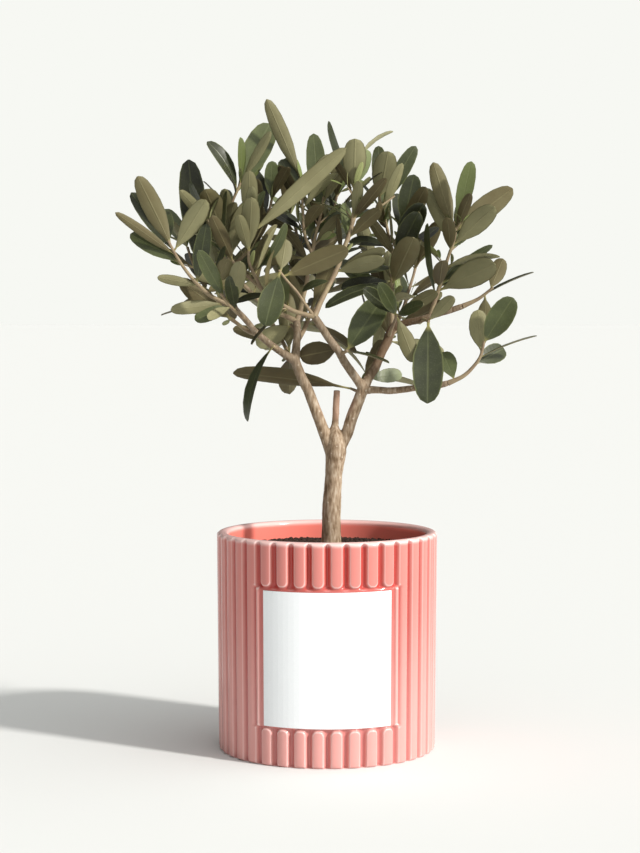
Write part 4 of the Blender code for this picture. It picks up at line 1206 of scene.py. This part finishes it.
# Glazed stoneware: a glossy pink glaze, pale where it breaks thin over an edge and on the lip, with painted
# highlights there as well; coral where it pools in the grooves, deepened as painted shade; paler towards the
# foot as painted light from the floor
glazeLook = {
    # the coral end of the tones, where the glaze pools, is darkened further as painted shade in the grooves
    "tones": ((0.0, "#cf7e76"), (0.45, "#cf7e76"), (0.9, "#b9453e")), "roughness": 0.16, "ior": 1.52,
    "cloudSize": 14.0 * mm, "cloudShare": 0.2,
    # paler towards the foot as painted light from the floor, more coral inside, pale on the lip and on edges
    # where the glaze breaks thin, with painted highlights: where each starts and is full
    "layers": (
        ("level", (112.0 * mm, 15.0 * mm), 0.21, "#f9dfdb"),
        ("radius", (60.6 * mm, 59.2 * mm), 0.9, "#f58476"),
        ("level", (126.0 * mm, 128.8 * mm), 0.6, "#f9dfdb"),
        ("edge", (0.51, 0.56), 0.7, "#f9dfdb"),
    ),
}


def glazeMaterial():
    made, add = newMaterial("pinkGlaze", glazeLook)
    # how deep in a groove a point lies: coral glaze pooling and painted shade
    poolAndShade = add("Attribute", attribute_name="glazePool").outputs["Fac"]
    place = add("TexCoord").outputs["Object"]
    flat = add("VectorMath", [place, (1.0, 1.0, 0.0)], operation="MULTIPLY")
    factors = {
        "level": add("SeparateXYZ", [place]).outputs["Z"],
        "radius": add("VectorMath", [flat], operation="LENGTH"),
        "edge": add("NewGeometry").outputs["Pointiness"],
    }
    cloud = add("TexNoise", {"Vector": place, "Scale": 1 / glazeLook["cloudSize"]})
    cloudShift = add("Math", [cloud, glazeLook["cloudShare"], -glazeLook["cloudShare"] / 2],
                     operation="MULTIPLY_ADD")
    depth = add("Math", [poolAndShade, cloudShift], operation="ADD")
    # these layers paint light too: a paler foot for light from the floor, highlights on the lip and edges
    layers = [(add("MapRange", [factors[factor], *ends, 0.0, share], interpolation_type="SMOOTHSTEP"), code)
              for factor, ends, share, code in glazeLook["layers"]]
    coat(made, overlaid(add, add("ValToRGB", [depth], stops=glazeLook["tones"]), layers))
    return made


# Potting soil: dark crumbs of peat and bark on a slightly uneven bed
soilShape = {
    "radius": 58.5, "top": 118.3, "bottom": 100.0, "rings": 26, "columns": 96, "unevenness": 0.9,
    "crumbSpacing": 1.7 * mm, "crumbSizes": (0.55 * mm, 1.5 * mm), "crumbLump": 0.35, "lumpScale": 900.0,
    "crumbTurn": (6.28, 6.28, 6.28), "levelFrom": 0.5, "seed": 4,
}
soilLook = {
    "tones": ((0.0, "#17100b"), (0.45, "#2b1d14"), (0.8, "#3f2c1f"), (1.0, "#5d4533")),
    "grain": 0.8 * mm, "cloudScale": 0.3, "roughness": 0.92, "relief": (0.7, 0.3 * mm),
}


def soilMaterial():
    made, add = newMaterial("pottingSoil", soilLook)
    place = add("TexCoord").outputs["Object"]
    fineScale = 1 / soilLook["grain"]
    cloud = add("TexNoise", {"Vector": place, "Scale": soilLook["cloudScale"] * fineScale, "Detail": 4.0})
    fine = add("TexNoise", {"Vector": place, "Scale": fineScale, "Detail": 3.0})
    coat(made, add("ValToRGB", [cloud], stops=soilLook["tones"]), fine, soilLook["relief"])
    return made


def scatterCrumbs(add, sizes):
    rise = add("SeparateXYZ", [add("InputNormal")]).outputs["Z"]
    isLevel = add("Compare", [rise, soilShape["levelFrom"]], data_type="FLOAT", operation="GREATER_THAN")
    square = add("Math", [sizes["Spacing"], 2.0], operation="POWER")
    most = add("Math", [1.0, square], operation="DIVIDE")
    points = add("DistributePointsOnFaces", {"Mesh": sizes["Geometry"], "Selection": isLevel, "Density": most,
                                             "Seed": sizes["Seed"]}, distribute_method="RANDOM")
    crumb = add("MeshIcoSphere", {"Radius": 1.0, "Subdivisions": 1})
    size = add("RandomValue", {"Min": sizes["Smallest"], "Max": sizes["Largest"], "Seed": sizes["Seed"]},
               data_type="FLOAT")
    turn = add("RandomValue", {"Min": (0.0, 0.0, 0.0), "Max": soilShape["crumbTurn"], "Seed": sizes["Seed"]},
               data_type="FLOAT_VECTOR")
    copies = add("InstanceOnPoints", {"Points": points, "Instance": crumb, "Rotation": turn, "Scale": size})
    real = add("RealizeInstances", {"Geometry": copies})
    noise = add("TexNoise", {"Vector": add("InputPosition"), "Scale": soilShape["lumpScale"], "Detail": 1.0})
    centred = add("VectorMath", [noise.outputs["Color"], (0.5, 0.5, 0.5)], operation="SUBTRACT")
    lump = add("Math", [sizes["Lump"], sizes["Largest"]], operation="MULTIPLY")
    shift = add("VectorMath", [centred, lump], operation="MULTIPLY")
    rough = add("SetPosition", {"Geometry": real, "Offset": shift})
    both = add("JoinGeometry", [sizes["Geometry"]])
    both.id_data.links.new(rough.outputs[0], both.inputs[0])
    return add("SetMaterial", {"Geometry": both, "Material": sizes["Material"]})


def makeSoil():
    rings, radius, top, bottom = (soilShape[key] for key in ("rings", "radius", "top", "bottom"))
    levels = [(0.0, bottom), (radius, bottom)]
    levels += [(radius * (1 - step / rings), top) for step in range(rings + 1)]
    made = turnedBody("soilBed", levels, soilShape["columns"])
    dice = random.Random(soilShape["seed"])
    for vertex in made.data.vertices:
        if vertex.co.z > (bottom + top) / 2 * mm:
            vertex.co.z += eitherWay(dice, soilShape["unevenness"] / 2) * mm
    smallest, largest = soilShape["crumbSizes"]
    addModifier(made, "scatterCrumbs", scatterCrumbs, {
        "Spacing": soilShape["crumbSpacing"], "Smallest": smallest, "Largest": largest,
        "Lump": soilShape["crumbLump"], "Seed": soilShape["seed"], "Material": soilMaterial()})
    settle(made)
    dress(made, "soil", "soil")


# Label: smooth coated paper, blank, with the faintest fibre
labelLook = {
    "tones": ((0.35, "#f1f5f8"), (0.65, "#f4f8fb")), "fibre": 0.6 * mm, "roughness": 0.55,
    "relief": (0.05, 0.01 * mm),
}


def dressLabel():
    made, add = newMaterial("labelPaper", labelLook)
    place = add("TexCoord").outputs["Object"]
    fibre = add("TexNoise", {"Vector": place, "Scale": 1 / labelLook["fibre"], "Detail": 3.0})
    coat(made, add("ValToRGB", [fibre], stops=labelLook["tones"]), fibre, labelLook["relief"])
    label = nodes["label"]
    label.data.materials.clear()
    label.data.materials.append(made)
    print("dressed label")


# Studio: a pale floor in a plain pale room, brighter to the right, with a low soft box and one key light
studio = {
    "backdrop": "#f7f8f3", "floor": "#e0e3e2", "floorSize": 30.0, "roughness": 0.9,
    "fill": "#f8f7f4", "dim": 0.1, "bright": 1.0, "brightFrom": -0.15, "top": 0.4, "topFrom": 0.45,
    "boxStrength": 2.5, "boxEdge": (0.93, 0.985), "boxAzimuth": 64.0, "boxElevation": 8.0,
    "keyStrength": 3.6, "keyColour": "#fffaf5", "keySize": 5.0, "keyAzimuth": 57.0, "keyElevation": 30.0,
    "cameraPlace": (-0.00415, -1.300, 0.2737), "cameraTurn": (90 - 3.61, 0.0, 0.0), "lens": 92.7,
}


def towards(light):
    # the direction from the plant to a light, by its bearing to the right of the camera and its height
    azimuth, elevation = math.radians(studio[light + "Azimuth"]), math.radians(studio[light + "Elevation"])
    ground = math.cos(elevation)
    return Vector((math.sin(azimuth) * ground, -math.cos(azimuth) * ground, math.sin(elevation)))


def buildStudio():
    scene = bpy.context.scene
    scene.view_settings.view_transform = "Standard"
    scene.world = bpy.data.worlds.new("studio")
    scene.world.use_nodes = True
    tree = scene.world.node_tree
    add = partial(addNode, tree)
    around = add("TexCoord").outputs["Generated"]
    toKey = add("VectorMath", [around, towards("key")], operation="DOT_PRODUCT")
    toBox = add("VectorMath", [around, towards("box")], operation="DOT_PRODUCT")
    rise = add("SeparateXYZ", [around]).outputs["Z"]
    glow = add("MapRange", [toKey, studio["brightFrom"], 1.0, studio["dim"], studio["bright"]],
               interpolation_type="SMOOTHSTEP")
    above = add("MapRange", [rise, studio["topFrom"], 1.0, 0.0, studio["top"]],
                interpolation_type="SMOOTHSTEP")
    box = add("MapRange", [toBox, *studio["boxEdge"], 0.0, studio["boxStrength"]],
              interpolation_type="SMOOTHSTEP")
    light = add("Math", [add("Math", [glow, above], operation="ADD"), box], operation="ADD")
    # the camera sees a plain backdrop
    seen = add("LightPath").outputs["Is Camera Ray"]
    strength = add("Mix", [seen, light, 1.0], data_type="FLOAT")
    colour = add("Mix", [seen, linear(studio["fill"]), linear(studio["backdrop"])], data_type="RGBA")
    background = tree.nodes["Background"]
    tree.links.new(colour.outputs[2], background.inputs["Color"])
    tree.links.new(strength.outputs[0], background.inputs["Strength"])
    sun = bpy.data.lights.new("key", "SUN")
    sun.energy = studio["keyStrength"]
    sun.angle = math.radians(studio["keySize"])
    sun.color = linear(studio["keyColour"])[:3]
    key = bpy.data.objects.new("key", sun)
    key.rotation_euler = (-towards("key")).to_track_quat("-Z", "Y").to_euler()
    scene.collection.objects.link(key)
    half = studio["floorSize"] / 2
    corners = [(-half, -half, 0), (half, -half, 0), (half, half, 0), (-half, half, 0)]
    floor = addPiece("floor", corners, faces=[(0, 1, 2, 3)])
    paint, _ = newMaterial("floorPaint", studio)
    shader = paint.node_tree.nodes["Principled BSDF"]
    shader.inputs["Base Color"].default_value = linear(studio["floor"])
    shader.inputs["Specular IOR Level"].default_value = 0.0
    floor.data.materials.append(paint)
    lens = bpy.data.cameras.new("camera")
    lens.lens = studio["lens"]
    camera = bpy.data.objects.new("camera", lens)
    camera.location = studio["cameraPlace"]
    camera.rotation_euler = [math.radians(angle) for angle in studio["cameraTurn"]]
    scene.collection.objects.link(camera)
    scene.camera = camera


buildStudio()
makePot()
dressLabel()
makeSoil()
limbs = layOut()
leaves = growLeaves(limbs)
print("leaves found in the solids:", len(leaves))
spurs, youngLeaves = growYoung(limbs)
print("young leaves grown:", len(youngLeaves), "on", len(spurs), "spurs")
makeWood(limbs)
makeTwigs(limbs, spurs)
makeLeaves([leaf for leaf in leaves + youngLeaves if leaf["name"] not in growth["leftOut"]])
